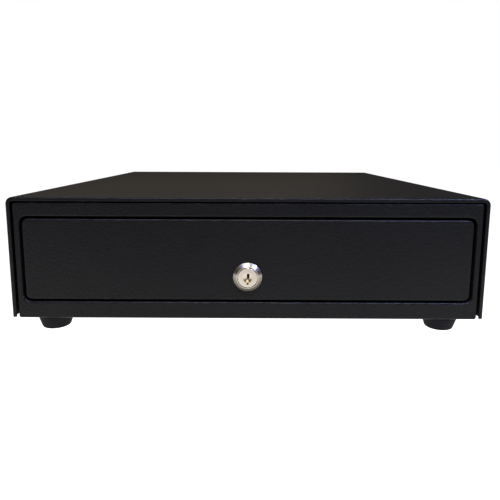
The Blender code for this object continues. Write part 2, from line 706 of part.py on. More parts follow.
def rear_panel(case):
    """Rear pan inside the cover, with the hole for the data socket."""
    side = INNER_X - GAP - SHEET - GAP
    shape = folded_pan(
        (-side, side), (FLOOR_Z + GAP, ROOF_Z - GAP), COVER_RADIUS, REAR_PLATE_Y, -1, REAR_PAN_DEPTH, SHEET
    )
    panel = piece("rear_panel", shape, "black_steel", case)
    for x, z in rear_screw_places():
        hole = disc(REAR_SCREW_RADIUS + RUNNING_GAP, "Y", -3 * SHEET, 2 * SHEET, 12)
        cut(panel, hole, (x, REAR_PLATE_Y, z))
    half_x = SOCKET_WIDTH / 2 + GAP
    half_z = SOCKET_TALL / 2 + GAP
    hole = block((-half_x, half_x), (-3 * SHEET, 2 * SHEET), (-half_z, half_z))
    cut(panel, hole, (SOCKET_X, REAR_PLATE_Y, SOCKET_Z))


def data_socket(case):
    """Six-way modular socket, open to the back, with its latch notch below the mouth."""
    half_x = SOCKET_WIDTH / 2
    half_z = SOCKET_TALL / 2
    back = BACK_Y + SOCKET_PROUD - REAR_PLATE_Y
    shape = block((-half_x, half_x), (back - SOCKET_DEPTH, back), (-half_z, half_z))
    place = (SOCKET_X, REAR_PLATE_Y, SOCKET_Z)
    socket = piece("data_socket", shape, "black_plastic", case, place, smooth=False)
    hole_x = SOCKET_HOLE_WIDTH / 2
    low = -half_z + SOCKET_SILL
    mouth = [
        (-hole_x, low),
        (-hole_x / 2, low),
        (-hole_x / 2, low - SOCKET_NOTCH),
        (hole_x / 2, low - SOCKET_NOTCH),
        (hole_x / 2, low),
        (hole_x, low),
        (hole_x, low + SOCKET_HOLE_TALL),
        (-hole_x, low + SOCKET_HOLE_TALL),
    ]
    cut(socket, prism(mouth, "Y", back - SOCKET_HOLE_DEPTH, back + OVERLAP))


def wiring_loom(case):
    """Sheathed wires from the socket along the base to the release coil, clipped all the way."""
    curve = bpy.data.curves.new("wiring_loom", "CURVE")
    curve.dimensions = "3D"
    curve.bevel_depth = LOOM_RADIUS
    curve.bevel_resolution = 1
    curve.use_fill_caps = True
    start_y = BACK_Y + SOCKET_PROUD - SOCKET_DEPTH - GAP
    base_z = FLOOR_Z + LOOM_RADIUS + GAP
    run_y = BACK_Y - LOOM_SETBACK
    end_x = -(CHEEK_HALF + SHEET + LOOM_SPACE)
    corners = [
        Vector((SOCKET_X, start_y, SOCKET_Z)),
        Vector((SOCKET_X, run_y, SOCKET_Z)),
        Vector((SOCKET_X, run_y, base_z)),
        Vector((end_x, run_y, base_z)),
        Vector((end_x, run_y, base_z + LOOM_RISE)),
    ]
    points = [corners[0]]
    for before, corner, after in zip(corners, corners[1:], corners[2:]):
        into = corner + (before - corner).normalized() * LOOM_TURN
        away = corner + (after - corner).normalized() * LOOM_TURN
        for step in range(4):
            share = step / 3
            points.append(into.lerp(corner, share).lerp(corner.lerp(away, share), share))
    points.append(corners[-1])
    spline = curve.splines.new("POLY")
    spline.points.add(len(points) - 1)
    for point, place in zip(spline.points, points):
        point.co = (*place, 1.0)
    loom = bpy.data.objects.new("wiring_loom", curve)
    bpy.context.scene.collection.objects.link(loom)
    loom.parent = case["empty"]
    curve.materials.append(material_of("wiring_loom", "black_plastic"))


def helix(name, owner, radius, wire, turns, length, place, turn_matrix, legs=()):
    """A coil spring of round wire along its own +Z, placed and turned as told."""
    curve = bpy.data.curves.new(name, "CURVE")
    curve.dimensions = "3D"
    curve.bevel_depth = wire
    curve.bevel_resolution = 1
    curve.use_fill_caps = True
    steps = 10
    count = int(turns * steps)
    points = []
    for step in range(count + 1):
        angle = math.tau * step / steps
        points.append(Vector((radius * math.cos(angle), radius * math.sin(angle), length * step / count)))
    if legs:
        points.insert(0, points[0] + Vector(legs[0]))
        points.append(points[-1] + Vector(legs[1]))
    spline = curve.splines.new("POLY")
    spline.points.add(len(points) - 1)
    for point, at in zip(spline.points, points):
        point.co = (*(turn_matrix @ at), 1.0)
    obj = bpy.data.objects.new(name, curve)
    bpy.context.scene.collection.objects.link(obj)
    obj.parent = owner["empty"]
    obj.location = Vector(place) - owner["place"]
    curve.materials.append(material_of(name, "spring_steel"))


def mirrored(points, side):
    """The outline for the left or right hand side."""
    return [(side * a, b) for a, b in points]


def case_rails(case):
    """Stepped rails on the base plate: a foot, a web, a ledge for the drawer's roller, and at the
    front an ear with the stud of the case roller.
    """
    foot_x = INNER_X - GAP - SHEET - GAP
    web = CASE_WEB_X
    back = web + RAIL_SHEET
    ledge_z = ROLLER_Z - ROLLER_RADIUS - GAP
    low = FLOOR_Z + GAP
    outline = [
        (foot_x, low),
        (foot_x, low + RAIL_SHEET),
        (back, low + RAIL_SHEET),
        (back, ledge_z),
        (ROLLER_X, ledge_z),
        (ROLLER_X, ledge_z - RAIL_SHEET),
        (web, ledge_z - RAIL_SHEET),
        (web, low),
    ]
    start = FRAME_BACK_Y + CASE_RAIL_FRONT
    end = BACK_Y - CASE_RAIL_REAR
    for name, side in SIDES:
        shape = prism(mirrored(outline, side), "Y", start, end)
        rail = piece(f"case_rail_{name}", shape, "zinc_steel", case, smooth=False)
        ear_y = (start, FRONT_ROLLER_Y + EAR_HALF)
        ear_z = (ledge_z - 2 * RAIL_SHEET, ROLLER_Z + EAR_HALF)
        join(rail, block(sorted((side * web, side * back)), ear_y, ear_z))
        stud = [
            (0, ROLLER_X - PIN_HEAD),
            (PIN_HEAD_RADIUS, ROLLER_X - PIN_HEAD),
            (PIN_HEAD_RADIUS, ROLLER_X),
            (PIN_RADIUS, ROLLER_X),
            (PIN_RADIUS, back + PIN_HEAD),
            (0, back + PIN_HEAD),
        ]
        join(rail, lathe([(r, side * x) for r, x in stud], "X", 12), (0, FRONT_ROLLER_Y, ROLLER_Z))


def case_guides(case):
    """Angle strips on the cover's sides that keep the drawer's rollers from lifting."""
    outer = INNER_X - GAP
    low = ROLLER_Z + ROLLER_RADIUS + GAP + RAIL_SHEET + GUIDE_CLEARANCE
    outline = [
        (ROLLER_X, low),
        (outer, low),
        (outer, low + GUIDE_RISE),
        (outer - RAIL_SHEET, low + GUIDE_RISE),
        (outer - RAIL_SHEET, low + RAIL_SHEET),
        (ROLLER_X, low + RAIL_SHEET),
    ]
    start = FRAME_BACK_Y + CASE_RAIL_FRONT
    end = BACK_Y - CASE_RAIL_REAR
    for name, side in SIDES:
        shape = prism(mirrored(outline, side), "Y", start, end)
        piece(f"case_guide_{name}", shape, "zinc_steel", case, smooth=False)


def drawer_rails(drawer):
    """Angle rails on the drawer box's sides, each with a roller pin at the back."""
    cap_z = ROLLER_Z + ROLLER_RADIUS + GAP
    web_end = RAIL_X + RAIL_SHEET
    low = cap_z + RAIL_SHEET - RAIL_WEB
    outline = [
        (RAIL_X, low),
        (web_end, low),
        (web_end, cap_z),
        (ROLLER_END_X, cap_z),
        (ROLLER_END_X, cap_z + RAIL_SHEET),
        (RAIL_X, cap_z + RAIL_SHEET),
    ]
    start = FACE_Y + FASCIA_DEPTH + DRAWER_RAIL_SPACE
    end = BOX_BACK_Y + DRAWER_RAIL_OVERHANG
    for name, side in SIDES:
        shape = prism(mirrored(outline, side), "Y", start, end)
        rail = piece(f"drawer_rail_{name}", shape, "zinc_steel", drawer, smooth=False)
        hole = disc(PIN_RADIUS + RUNNING_GAP, "X", -3 * SHEET, 3 * SHEET, 12)
        cut(rail, hole, (side * web_end, REAR_ROLLER_Y, ROLLER_Z))


def rollers(case, drawer):
    """Four nylon rollers, each its own body, and the pins that carry the drawer's two."""
    bore = PIN_RADIUS + RUNNING_GAP
    hub = PIN_HEAD_RADIUS + ROLLER_HUB
    half = ROLLER_WIDTH / 2
    profile = [
        (bore, -half + GAP),
        (hub, -half + GAP),
        (hub + ROLLER_HUB_SLOPE, -half),
        (ROLLER_RADIUS - ROLLER_EDGE, -half),
        (ROLLER_RADIUS, -half + ROLLER_EDGE),
        (ROLLER_RADIUS, half - ROLLER_EDGE),
        (ROLLER_RADIUS - ROLLER_EDGE, half),
        (hub + ROLLER_HUB_SLOPE, half),
        (hub, half - GAP),
        (bore, half - GAP),
    ]
    middle = ROLLER_X + half
    for name, side in SIDES:
        far = ROLLER_END_X + PIN_HEAD
        near = RAIL_X + RAIL_SHEET + GAP
        drawer_pin(f"drawer_roller_pin_{name}", drawer, side, near, far)
        for kind, owner, y in (("case", case, FRONT_ROLLER_Y), ("drawer", drawer, REAR_ROLLER_Y)):
            place = (side * middle, y, ROLLER_Z)
            wheel = body(f"{kind}_roller_{name}_axis", place, owner)
            piece(f"{kind}_roller_{name}", lathe(profile, "X", 18), "white_nylon", wheel, place)


def drawer_pin(name, owner, side, near, far):
    """A pin whose shank is set in the drawer rail's hole, with a collar outside the rail."""
    profile = [
        (0, RAIL_X + GAP),
        (PIN_RADIUS, RAIL_X + GAP),
        (PIN_RADIUS, near),
        (PIN_HEAD_RADIUS, near),
        (PIN_HEAD_RADIUS, near + PIN_HEAD),
        (PIN_RADIUS, near + PIN_HEAD),
        (PIN_RADIUS, far - PIN_HEAD),
        (PIN_HEAD_RADIUS, far - PIN_HEAD),
        (PIN_HEAD_RADIUS, far),
        (0, far),
    ]
    shape = lathe([(r, side * x) for r, x in profile], "X", 12)
    piece(name, shape, "zinc_steel", owner, (0, REAR_ROLLER_Y, ROLLER_Z))


def drawer_front(drawer):
    """Folded pan with round corners and the hole for the lock."""
    shape = folded_pan(
        (-FASCIA_X, FASCIA_X), (FASCIA_LOW_Z, FASCIA_HIGH_Z), FASCIA_RADIUS, FACE_Y, 1, FASCIA_DEPTH, SHEET
    )
    front = piece("drawer_front", shape, "black_steel", drawer)
    cut(front, disc(BARREL_RADIUS + GAP, "Y", -3 * SHEET, 3 * SHEET, 24), (0, FACE_Y, LOCK_Z))


def drawer_box(drawer):
    """Sheet box: floor, four walls, and side walls that run on to the drawer front."""
    outline = [(-BOX_X, BOX_BACK_Y), (BOX_X, BOX_BACK_Y), (BOX_X, BOX_FRONT_Y), (-BOX_X, BOX_FRONT_Y)]
    shape = prism(outline, "Z", BOX_LOW_Z, BOX_HIGH_Z)
    box = piece("drawer_box", shape, "black_steel", drawer, smooth=False)
    inner_x = BOX_X - BOX_SHEET
    hollow = block(
        (-inner_x, inner_x),
        (BOX_FRONT_Y + BOX_SHEET, BOX_BACK_Y - BOX_SHEET),
        (BOX_LOW_Z + BOX_SHEET, BOX_HIGH_Z + DEEP),
    )
    cut(box, hollow)
    front_end = FACE_Y + SHEET + GAP
    for side in (-1, 1):
        wing_x = sorted((side * BOX_X, side * inner_x))
        wing = block(wing_x, (front_end, BOX_FRONT_Y + OVERLAP), (BOX_LOW_Z + WING_STEP, BOX_HIGH_Z))
        join(box, wing)
        flange_x = sorted((side * BOX_X, side * (BOX_X - BOX_FLANGE)))
        flange = block(flange_x, (front_end, front_end + BOX_SHEET), (BOX_LOW_Z + WING_STEP, BOX_HIGH_Z))
        join(box, flange)


def striker(drawer):
    """Hoop on the drawer's back that the latch catches."""
    ear = STRIKER_EAR
    plate_y = BOX_BACK_Y + GAP
    plate_back = plate_y + STRIKER_PLATE
    back = CROSSBAR_Y + CROSSBAR_RADIUS
    high = CROSSBAR_RADIUS + STRIKER_MARGIN
    outline = [
        (-STRIKER_PLATE_HALF, plate_y),
        (STRIKER_PLATE_HALF, plate_y),
        (STRIKER_PLATE_HALF, plate_back),
        (STRIKER_HALF, plate_back),
        (STRIKER_HALF, back),
        (STRIKER_HALF - ear, back),
        (STRIKER_HALF - ear, plate_back),
        (-STRIKER_HALF + ear, plate_back),
        (-STRIKER_HALF + ear, back),
        (-STRIKER_HALF, back),
        (-STRIKER_HALF, plate_back),
        (-STRIKER_PLATE_HALF, plate_back),
    ]
    shape = prism(outline, "Z", -high, high)
    hoop = piece("striker", shape, "zinc_steel", drawer, (0, 0, CROSSBAR_Z), smooth=False)
    bar = disc(CROSSBAR_RADIUS, "X", -STRIKER_HALF + ear / 2, STRIKER_HALF - ear / 2, 12)
    join(hoop, bar, (0, CROSSBAR_Y - CROSSBAR_INSET, 0))


def lock_barrel(drawer):
    """Barrel with its coned collar, a stepped bore for the plug, and its ring nut."""
    rear = BARREL_BACK
    seat = -GAP
    face = -BEZEL_PROUD
    head_bore = PLUG_RADIUS + PLUG_GROOVE
    shank_bore = PLUG_SHANK_RADIUS + RUNNING_GAP
    step = face + PLUG_HEAD + GAP
    profile = [
        (shank_bore, rear),
        (BARREL_RADIUS, rear),
        (BARREL_RADIUS, seat),
        (BEZEL_RADIUS, seat),
        (BEZEL_RADIUS, seat - BEZEL_EDGE),
        (BEZEL_RADIUS - BEZEL_SHOULDER[0], seat - BEZEL_SHOULDER[1]),
        (BEZEL_FLAT_RADIUS + BEZEL_CROWN[0], face + BEZEL_CROWN[1]),
        (BEZEL_FLAT_RADIUS, face),
        (head_bore, face),
        (head_bore, step),
        (shank_bore, step),
    ]
    piece("lock_barrel", lathe(profile, "Y", 28), "chrome", drawer, (0, FACE_Y, LOCK_Z))
    start = SHEET + GAP
    ring = tube(NUT_RADIUS, BARREL_RADIUS + RUNNING_GAP, "Y", start, start + NUT_THICKNESS, 6)
    nut = piece("lock_nut", ring, "brass", drawer, (0, FACE_Y, LOCK_Z), smooth=False)
    bore = disc(BARREL_RADIUS + RUNNING_GAP, "Y", start - OVERLAP, start + NUT_THICKNESS + OVERLAP, 20)
    cut(nut, bore)


def lock(drawer):
    """The plug with its keyway, the cam and its nut, which turn together about the lock's axis."""
    place = (0, FACE_Y, LOCK_Z)
    turning = body("lock", place, drawer)
    face = -BEZEL_PROUD
    shank_end = BARREL_BACK + GAP
    cam_front = shank_end + GAP
    cam_back = cam_front + CAM_THICKNESS
    nut_front = cam_back + GAP
    nut_back = nut_front + CAM_NUT_THICKNESS
    profile = [
        (0, face),
        (PLUG_RADIUS - PLUG_EDGE, face),
        (PLUG_RADIUS, face + PLUG_EDGE),
        (PLUG_RADIUS, face + PLUG_HEAD),
        (PLUG_SHANK_RADIUS, face + PLUG_HEAD),
        (PLUG_SHANK_RADIUS, shank_end),
        (STUB_RADIUS, shank_end),
        (STUB_RADIUS, nut_back + STUB_END),
        (0, nut_back + STUB_END),
    ]
    plug = piece("lock_plug", lathe(profile, "Y", 24), "chrome", turning, place)
    slope = (DISH_RADIUS - DISH_FLOOR_RADIUS) / DISH_DEPTH
    dish = [
        (0, face - OVERLAP),
        (DISH_RADIUS + slope * OVERLAP, face - OVERLAP),
        (DISH_FLOOR_RADIUS, face + DISH_DEPTH),
        (0, face + DISH_DEPTH),
    ]
    cut(plug, lathe(dish, "Y", 16))
    half_w = KEYWAY_WIDTH / 2
    half_h = KEYWAY_HEIGHT / 2
    jog = KEYWAY_JOG
    inner_step, outer_step = KEYWAY_STEP
    slot = [
        (-half_w - jog / 2, -half_h),
        (half_w - jog, -half_h),
        (half_w - jog, -outer_step),
        (half_w + jog / 2, inner_step),
        (half_w + jog / 2, half_h),
        (-half_w + jog, half_h),
        (-half_w + jog, outer_step),
        (-half_w - jog / 2, -inner_step),
    ]
    cut(plug, prism(slot, "Y", face - OVERLAP, face + KEYWAY_DEPTH))
    half = CAM_WIDTH / 2
    round_end = [math.radians(angle) for angle in range(180, 361, 30)]
    outline = [(half * math.sin(angle), half * math.cos(angle)) for angle in round_end]
    shoulder = (CAM_LENGTH - CAM_NOSE, half - CAM_TAPER)
    nose = (CAM_LENGTH, half - CAM_NOSE)
    outline += [shoulder, nose, (nose[0], -nose[1]), (shoulder[0], -shoulder[1])]
    shape = prism(outline, "Y", cam_front, cam_back)
    cam = piece("lock_cam", shape, "zinc_steel", turning, place, smooth=False)
    cut(cam, disc(STUB_RADIUS + RUNNING_GAP, "Y", cam_front - OVERLAP, cam_back + OVERLAP, 16))
    nut = disc(CAM_NUT_RADIUS, "Y", nut_front, nut_back, 6)
    cam_nut = piece("cam_nut", nut, "zinc_steel", turning, place, smooth=False)
    cut(cam_nut, disc(STUB_RADIUS + RUNNING_GAP, "Y", nut_front - OVERLAP, nut_back + OVERLAP, 16))


def till_tray(drawer):
    """Moulded tray that fills the drawer box: a bay for the coin tray and one for bills."""
    shape = block((-TILL_X, TILL_X), (TILL_FRONT_Y, TILL_BACK_Y), (TILL_LOW_Z, TILL_HIGH_Z))
    tray = piece("till_tray", shape, "black_plastic", drawer, smooth=False)
    inner = TILL_X - TILL_WALL
    above = TILL_HIGH_Z + DEEP
    bays = ((TILL_FRONT_Y + TILL_WALL, PARTITION_Y), (PARTITION_Y + TILL_WALL, TILL_BACK_Y - TILL_WALL))
    for bay in bays:
        cut(tray, block((-inner, inner), bay, (TILL_FLOOR_Z, above)))
    bore = ROD_RADIUS + RUNNING_GAP
    cut(tray, disc(bore, "X", -TILL_X - OVERLAP, TILL_X + OVERLAP, 12), (0, ROD_Y, ROD_Z))


def bill_centres():
    """Middles of the bill compartments, and the dividers between them."""
    inner = TILL_X - TILL_WALL
    pitch = 2 * inner / BILL_COLUMNS
    centres = [-inner + pitch * (column + 0.5) for column in range(BILL_COLUMNS)]
    edges = [-inner + pitch * (column + 1) for column in range(BILL_COLUMNS - 1)]
    return centres, edges


def bill_dividers(drawer):
    """Thin removable walls between the bill compartments, dipping at the front."""
    front = PARTITION_Y + TILL_WALL + GAP
    back = TILL_BACK_Y - TILL_WALL - GAP
    low = TILL_FLOOR_Z + GAP
    high = ROD_Z - ROD_RADIUS - DIVIDER_CLEARANCE
    dip_z = high - DIVIDER_DIP
    dip_end, rise_end = DIVIDER_DIP_RUN
    outline = [
        (front, low),
        (back, low),
        (back, high),
        (front + rise_end, high),
        (front + dip_end, dip_z),
        (front, dip_z),
    ]
    for number, x in enumerate(bill_centres()[1], 1):
        shape = prism(outline, "X", -DIVIDER / 2, DIVIDER / 2)
        piece(f"bill_divider_{number}", shape, "black_plastic", drawer, (x, 0, 0), smooth=False)


def clip_rod(drawer):
    """Steel rod through the till's sides that the bill clips turn on."""
    half = TILL_X - ROD_END
    piece("clip_rod", disc(ROD_RADIUS, "X", -half, half, 12), "zinc_steel", drawer, (0, ROD_Y, ROD_Z))


def clip_angle():
    """How far a clip hangs below level when its heel rests just above the till's floor."""
    reach = math.hypot(CLIP_HEEL, CLIP_HEEL_RISE)
    drop = ROD_Z - TILL_FLOOR_Z - CLIP_REST
    return math.asin(drop / reach) + math.atan2(CLIP_HEEL_RISE, CLIP_HEEL)


def bill_clips(drawer):
    """Five sprung arms that hold the bills down, each turning on the rod."""
    eye = CLIP_EYE_RADIUS
    bore = ROD_RADIUS + RUNNING_GAP
    thick = CLIP_THICKNESS
    ring = []
    for step in range(9):
        angle = math.radians((CLIP_EYE_OPEN - 180) * (1 - step / 4))
        ring.append((eye * math.cos(angle), eye * math.sin(angle)))
    arm = [
        (-CLIP_LENGTH + CLIP_BEND, CLIP_TOP),
        (-CLIP_LENGTH + CLIP_CURL[0], CLIP_TOP + CLIP_CURL[1]),
        (-CLIP_LENGTH, CLIP_TOP + CLIP_TIP_RISE),
        (-CLIP_LENGTH - thick, CLIP_TOP + CLIP_TIP_RISE - CLIP_HEEL_LIFT),
        (-CLIP_HEEL, CLIP_HEEL_RISE),
        (-CLIP_LENGTH + CLIP_BEND, CLIP_TOP - thick),
        (ring[0][0] - CLIP_EYE_BLEND, CLIP_TOP - thick),
    ]
    outline = ring + arm
    slope = Matrix.Rotation(clip_angle(), 4, "X")
    for number, x in enumerate(bill_centres()[0], 1):
        place = (x, ROD_Y, ROD_Z)
        hinge = body(f"bill_clip_{number}_axis", place, drawer)
        shape = prism(outline, "X", -CLIP_WIDTH / 2, CLIP_WIDTH / 2)
        bmesh.ops.transform(shape, matrix=slope, verts=shape.verts)
        clip = piece(f"bill_clip_{number}", shape, "spring_steel", hinge, place)
        cut(clip, disc(bore, "X", -CLIP_WIDTH, CLIP_WIDTH, 12))


def coin_tray(drawer):
    """Lift-out tray with rows of cups whose bottoms are scooped."""
    outer_x = TILL_X - TILL_WALL - GAP
    front = TILL_FRONT_Y + TILL_WALL + GAP
    back = PARTITION_Y - GAP
    low = TILL_FLOOR_Z + GAP
    high = TILL_HIGH_Z - COIN_DROP
    shape = block((-outer_x, outer_x), (front, back), (low, high))
    tray = piece("coin_tray", shape, "black_plastic", drawer)
    cup_x = (2 * outer_x - COIN_WALL * (COIN_COLUMNS + 1)) / COIN_COLUMNS
    cup_y = (back - front - COIN_WALL * (COIN_ROWS + 1)) / COIN_ROWS
    floor = low + COIN_WALL
    above = high + DEEP
    half = cup_y / 2
    cup = [(half, above), (-half, above)]
    for turn, middle in ((180, -half + CUP_ROUND), (270, half - CUP_ROUND)):
        for step in range(4):
            angle = math.radians(turn + 30 * step)
            cup.append((middle + CUP_ROUND * math.cos(angle), floor + CUP_ROUND * (1 + math.sin(angle))))
    for column in range(COIN_COLUMNS):
        for row in range(COIN_ROWS):
            x = -outer_x + COIN_WALL + cup_x / 2 + column * (cup_x + COIN_WALL)
            y = front + COIN_WALL + half + row * (cup_y + COIN_WALL)
            cut(tray, prism(cup, "X", -cup_x / 2, cup_x / 2), (x, y, 0))


def latch_bracket(case):
    """Channel bracket that holds the latch pin between its cheeks."""
    outer = CHEEK_HALF + SHEET
    low = FLOOR_Z + GAP
    high = PIVOT_Z + CHEEK_RISE
    outline = [
        (-outer, low),
        (outer, low),
        (outer, high),
        (CHEEK_HALF, high),
        (CHEEK_HALF, low + SHEET),
        (-CHEEK_HALF, low + SHEET),
        (-CHEEK_HALF, high),
        (-outer, high),
    ]
    shape = prism(outline, "Y", BACK_Y - BRACKET_FRONT, BACK_Y - BRACKET_REAR)
    bracket = piece("latch_bracket", shape, "zinc_steel", case, smooth=False)
    bore = disc(LATCH_PIN_RADIUS + RUNNING_GAP, "X", -outer - OVERLAP, outer + OVERLAP, 12)
    cut(bracket, bore, (0, PIVOT_Y, PIVOT_Z))
    shank = outer + GAP
    reach = shank + LATCH_PIN_HEAD
    head = LATCH_PIN_RADIUS + LATCH_PIN_HEAD
    profile = [
        (0, -reach),
        (head, -reach),
        (head, -shank),
        (LATCH_PIN_RADIUS, -shank),
        (LATCH_PIN_RADIUS, shank),
        (head, shank),
        (head, reach),
        (0, reach),
    ]
    piece("latch_pin", lathe(profile, "X", 12), "zinc_steel", case, (0, PIVOT_Y, PIVOT_Z))


def latch_lever(case):
    """Hooked lever on the latch pin, drawn engaged and then swung up to its released rest place."""
    place = (0, PIVOT_Y, PIVOT_Z)
    turning = body("latch", place, case)
    bar_y = CROSSBAR_Y - CROSSBAR_INSET - PIVOT_Y
    bar_z = CROSSBAR_Z - PIVOT_Z
    tooth_back = bar_y - CROSSBAR_RADIUS - TOOTH_GAP
    tooth_front = tooth_back - TOOTH_THICKNESS
    tooth_low = bar_z - TOOTH_DROP
    under = bar_z + CROSSBAR_RADIUS + BAR_CLEARANCE
    over = under + LEVER_DEPTH
    climb = math.tan(math.radians(LATCH_SWING / 2))
    half_fork = FORK_THICKNESS / 2
    waist = HUB_RADIUS * 0.8
    hook = [
        (tooth_front, tooth_low),
        (tooth_back, tooth_low),
        (tooth_back, under),
        (-LEVER_NECK, under),
        (-waist, -LEVER_WAIST),
        (LEVER_BACK / 2, -LEVER_WAIST),
        (LEVER_BACK, climb * LEVER_BACK - half_fork),
        (LEVER_BACK, climb * LEVER_BACK + half_fork),
        (waist, HUB_RADIUS * 2 / 3),
        (-LEVER_NECK, over),
        (tooth_front + OVERLAP, over),
        (tooth_front, over - LEVER_DEPTH / 3),
    ]
    swing = Matrix.Rotation(-math.radians(LATCH_SWING), 4, "X")

    def swung(shape):
        bmesh.ops.transform(shape, matrix=swing, verts=shape.verts)
        return shape

    shape = swung(prism(hook, "X", -LEVER_HALF, LEVER_HALF))
    lever = piece("latch_lever", shape, "zinc_steel", turning, place)
    hub = CHEEK_HALF - HUB_END_GAP
    join(lever, swung(disc(HUB_RADIUS, "X", -hub, hub, 14)))
    start = LEVER_BACK - OVERLAP
    end = TAIL_ARM + FORK_LENGTH
    fork = [
        (start, climb * start - half_fork),
        (end, climb * end - half_fork),
        (end, climb * end + half_fork),
        (start, climb * start + half_fork),
    ]
    join(lever, swung(prism(fork, "X", -FORK_HALF, FORK_HALF)))
    slot_half = NECK_RADIUS + FORK_SLOT
    slot = block((-slot_half, slot_half), (TAIL_ARM - FORK_SLOT_FRONT, end + DEEP), (-DEEP, DEEP))
    cut(lever, swung(slot))
    join(lever, swung(block(FINGER_X, FINGER_Y, (-FINGER_DROP, 0))))
    cut(lever, disc(LATCH_PIN_RADIUS + RUNNING_GAP, "X", -2 * hub, 2 * hub, 12))


def latch_spring(case):
    """Torsion spring round the latch's hub, with one leg on the lever and one on the cheek."""
    turn = Matrix.Rotation(math.radians(90), 3, "Y")
    helix(
        "latch_spring",
        case,
        HUB_RADIUS + SPRING_WIRE + 2 * RUNNING_GAP,
        SPRING_WIRE,
        SPRING_TURNS,
        SPRING_LENGTH,
        (SPRING_START_X, PIVOT_Y, PIVOT_Z),
        turn,
        legs=[(0, leg, 0) for leg in SPRING_LEGS],
    )


def solenoid(case):
    """C-shaped yoke, coil on its bobbin, and the plunger that draws the latch's tail down."""
    low = FLOOR_Z + GAP + SHEET + GAP
    coil_low = low + YOKE_SHEET + GAP
    coil_high = coil_low + COIL_HEIGHT
    high = coil_high + GAP + YOKE_SHEET
    front = -COIL_RADIUS
    back = COIL_RADIUS + GAP
    outline = [
        (front, low),
        (back + YOKE_SHEET, low),
        (back + YOKE_SHEET, high),
        (front, high),
        (front, high - YOKE_SHEET),
        (back, high - YOKE_SHEET),
        (back, low + YOKE_SHEET),
        (front, low + YOKE_SHEET),
    ]
    half = COIL_RADIUS + YOKE_MARGIN
    shape = prism(outline, "X", -half, half)
    yoke = piece("solenoid_yoke", shape, "zinc_steel", case, (0, PLUNGER_Y, 0), smooth=False)
    bore = PLUNGER_RADIUS + PLUNGER_CLEARANCE
    cut(yoke, disc(bore, "Z", high - 3 * YOKE_SHEET, high + YOKE_SHEET, 16))
    flange = BOBBIN_FLANGE
    bobbin = [
        (bore, coil_low),
        (COIL_RADIUS, coil_low),
        (COIL_RADIUS, coil_low + flange),
        (COIL_WINDING_RADIUS, coil_low + flange),
        (COIL_WINDING_RADIUS, coil_high - flange),
        (COIL_RADIUS, coil_high - flange),
        (COIL_RADIUS, coil_high),
        (bore, coil_high),
    ]
    piece("solenoid_coil", lathe(bobbin, "Z", 18), "copper_coil", case, (0, PLUNGER_Y, 0))
    tail_z = PIVOT_Z - TAIL_ARM * math.tan(math.radians(LATCH_SWING / 2))
    place = (0, PLUNGER_Y, tail_z)
    sliding = body("plunger", place, case)
    cap = NECK_HALF + PLUNGER_CAP
    foot = coil_low + PLUNGER_FOOT - tail_z
    plunger = [
        (0, foot),
        (PLUNGER_RADIUS, foot),
        (PLUNGER_RADIUS, -NECK_HALF),
        (NECK_RADIUS, -NECK_HALF),
        (NECK_RADIUS, NECK_HALF),
        (PLUNGER_RADIUS, NECK_HALF),
        (PLUNGER_RADIUS, cap - PLUNGER_EDGE),
        (PLUNGER_RADIUS - PLUNGER_EDGE, cap),
        (0, cap),
    ]
    piece("solenoid_plunger", lathe(plunger, "Z", 16), "zinc_steel", sliding, place)


def microswitch(case):
    """Small switch on the bracket's left cheek, and the leaf that the latch's finger presses."""
    low = -SWITCH_DROP - SWITCH_TALL
    start = SWITCH_FRONT
    x = (-CHEEK_HALF + GAP, -CHEEK_HALF + GAP + SWITCH_WIDTH)
    shape = block(x, (start, start + SWITCH_LENGTH), (low, -SWITCH_DROP))
    switch = piece("microswitch", shape, "black_plastic", case, (0, PIVOT_Y, PIVOT_Z), smooth=False)
    post = block(x, (start, start + SWITCH_POST), (-SWITCH_DROP - OVERLAP, -SWITCH_DROP + SWITCH_POST_RISE))
    join(switch, post)
    place = (sum(x) / 2, PIVOT_Y + start + LEAF_SETBACK, PIVOT_Z - SWITCH_DROP + LEAF_RISE)
    turning = body("switch_arm", place, case)
    half = LEAF_WIDTH / 2
    leaf = block((-half, half), (0, LEAF_LENGTH), (-LEAF_THICKNESS / 2, LEAF_THICKNESS / 2))
    tilt = Matrix.Rotation(math.radians(LEAF_REST), 4, "X")
    bmesh.ops.transform(leaf, matrix=tilt, verts=leaf.verts)
    arm = piece("switch_lever", leaf, "spring_steel", turning, place, smooth=False)
    join(arm, disc(LEAF_KNUCKLE, "X", -half, half, 8))


def ejector_spring(case):
    """Coil spring between the rear panel and the drawer's back, which pushes the drawer out."""
    start = BOX_BACK_Y + GAP + EJECTOR_WIRE
    end = REAR_PLATE_Y - SHEET - GAP - EJECTOR_WIRE
    turn = Matrix.Rotation(math.radians(-90), 3, "X")
    place = (EJECTOR_X, start, CROSSBAR_Z)
    helix("ejector_spring", case, EJECTOR_RADIUS, EJECTOR_WIRE, EJECTOR_TURNS, end - start, place, turn)


def main() -> None:
    """Build every body in turn, from the case inwards."""
    clear_scene()
    case = body("case")
    drawer = body("drawer", (0, FACE_Y, 0), case)
    case_cover(case)
    base_plate(case)
    front_frame(case)
    rear_panel(case)
    rear_screws(case)
    feet(case)
    case_rails(case)
    case_guides(case)
    drawer_rails(drawer)
    rollers(case, drawer)
    drawer_front(drawer)
    drawer_box(drawer)
    striker(drawer)
    lock_barrel(drawer)
    lock(drawer)
    till_tray(drawer)
    coin_tray(drawer)
    bill_dividers(drawer)
    clip_rod(drawer)
    bill_clips(drawer)
    latch_bracket(case)
    latch_lever(case)
    latch_spring(case)
    solenoid(case)
    microswitch(case)
    data_socket(case)
    wiring_loom(case)
    ejector_spring(case)


main()
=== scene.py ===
import logging
import math
from dataclasses import dataclass
from enum import Enum
from typing import Iterable, Sequence

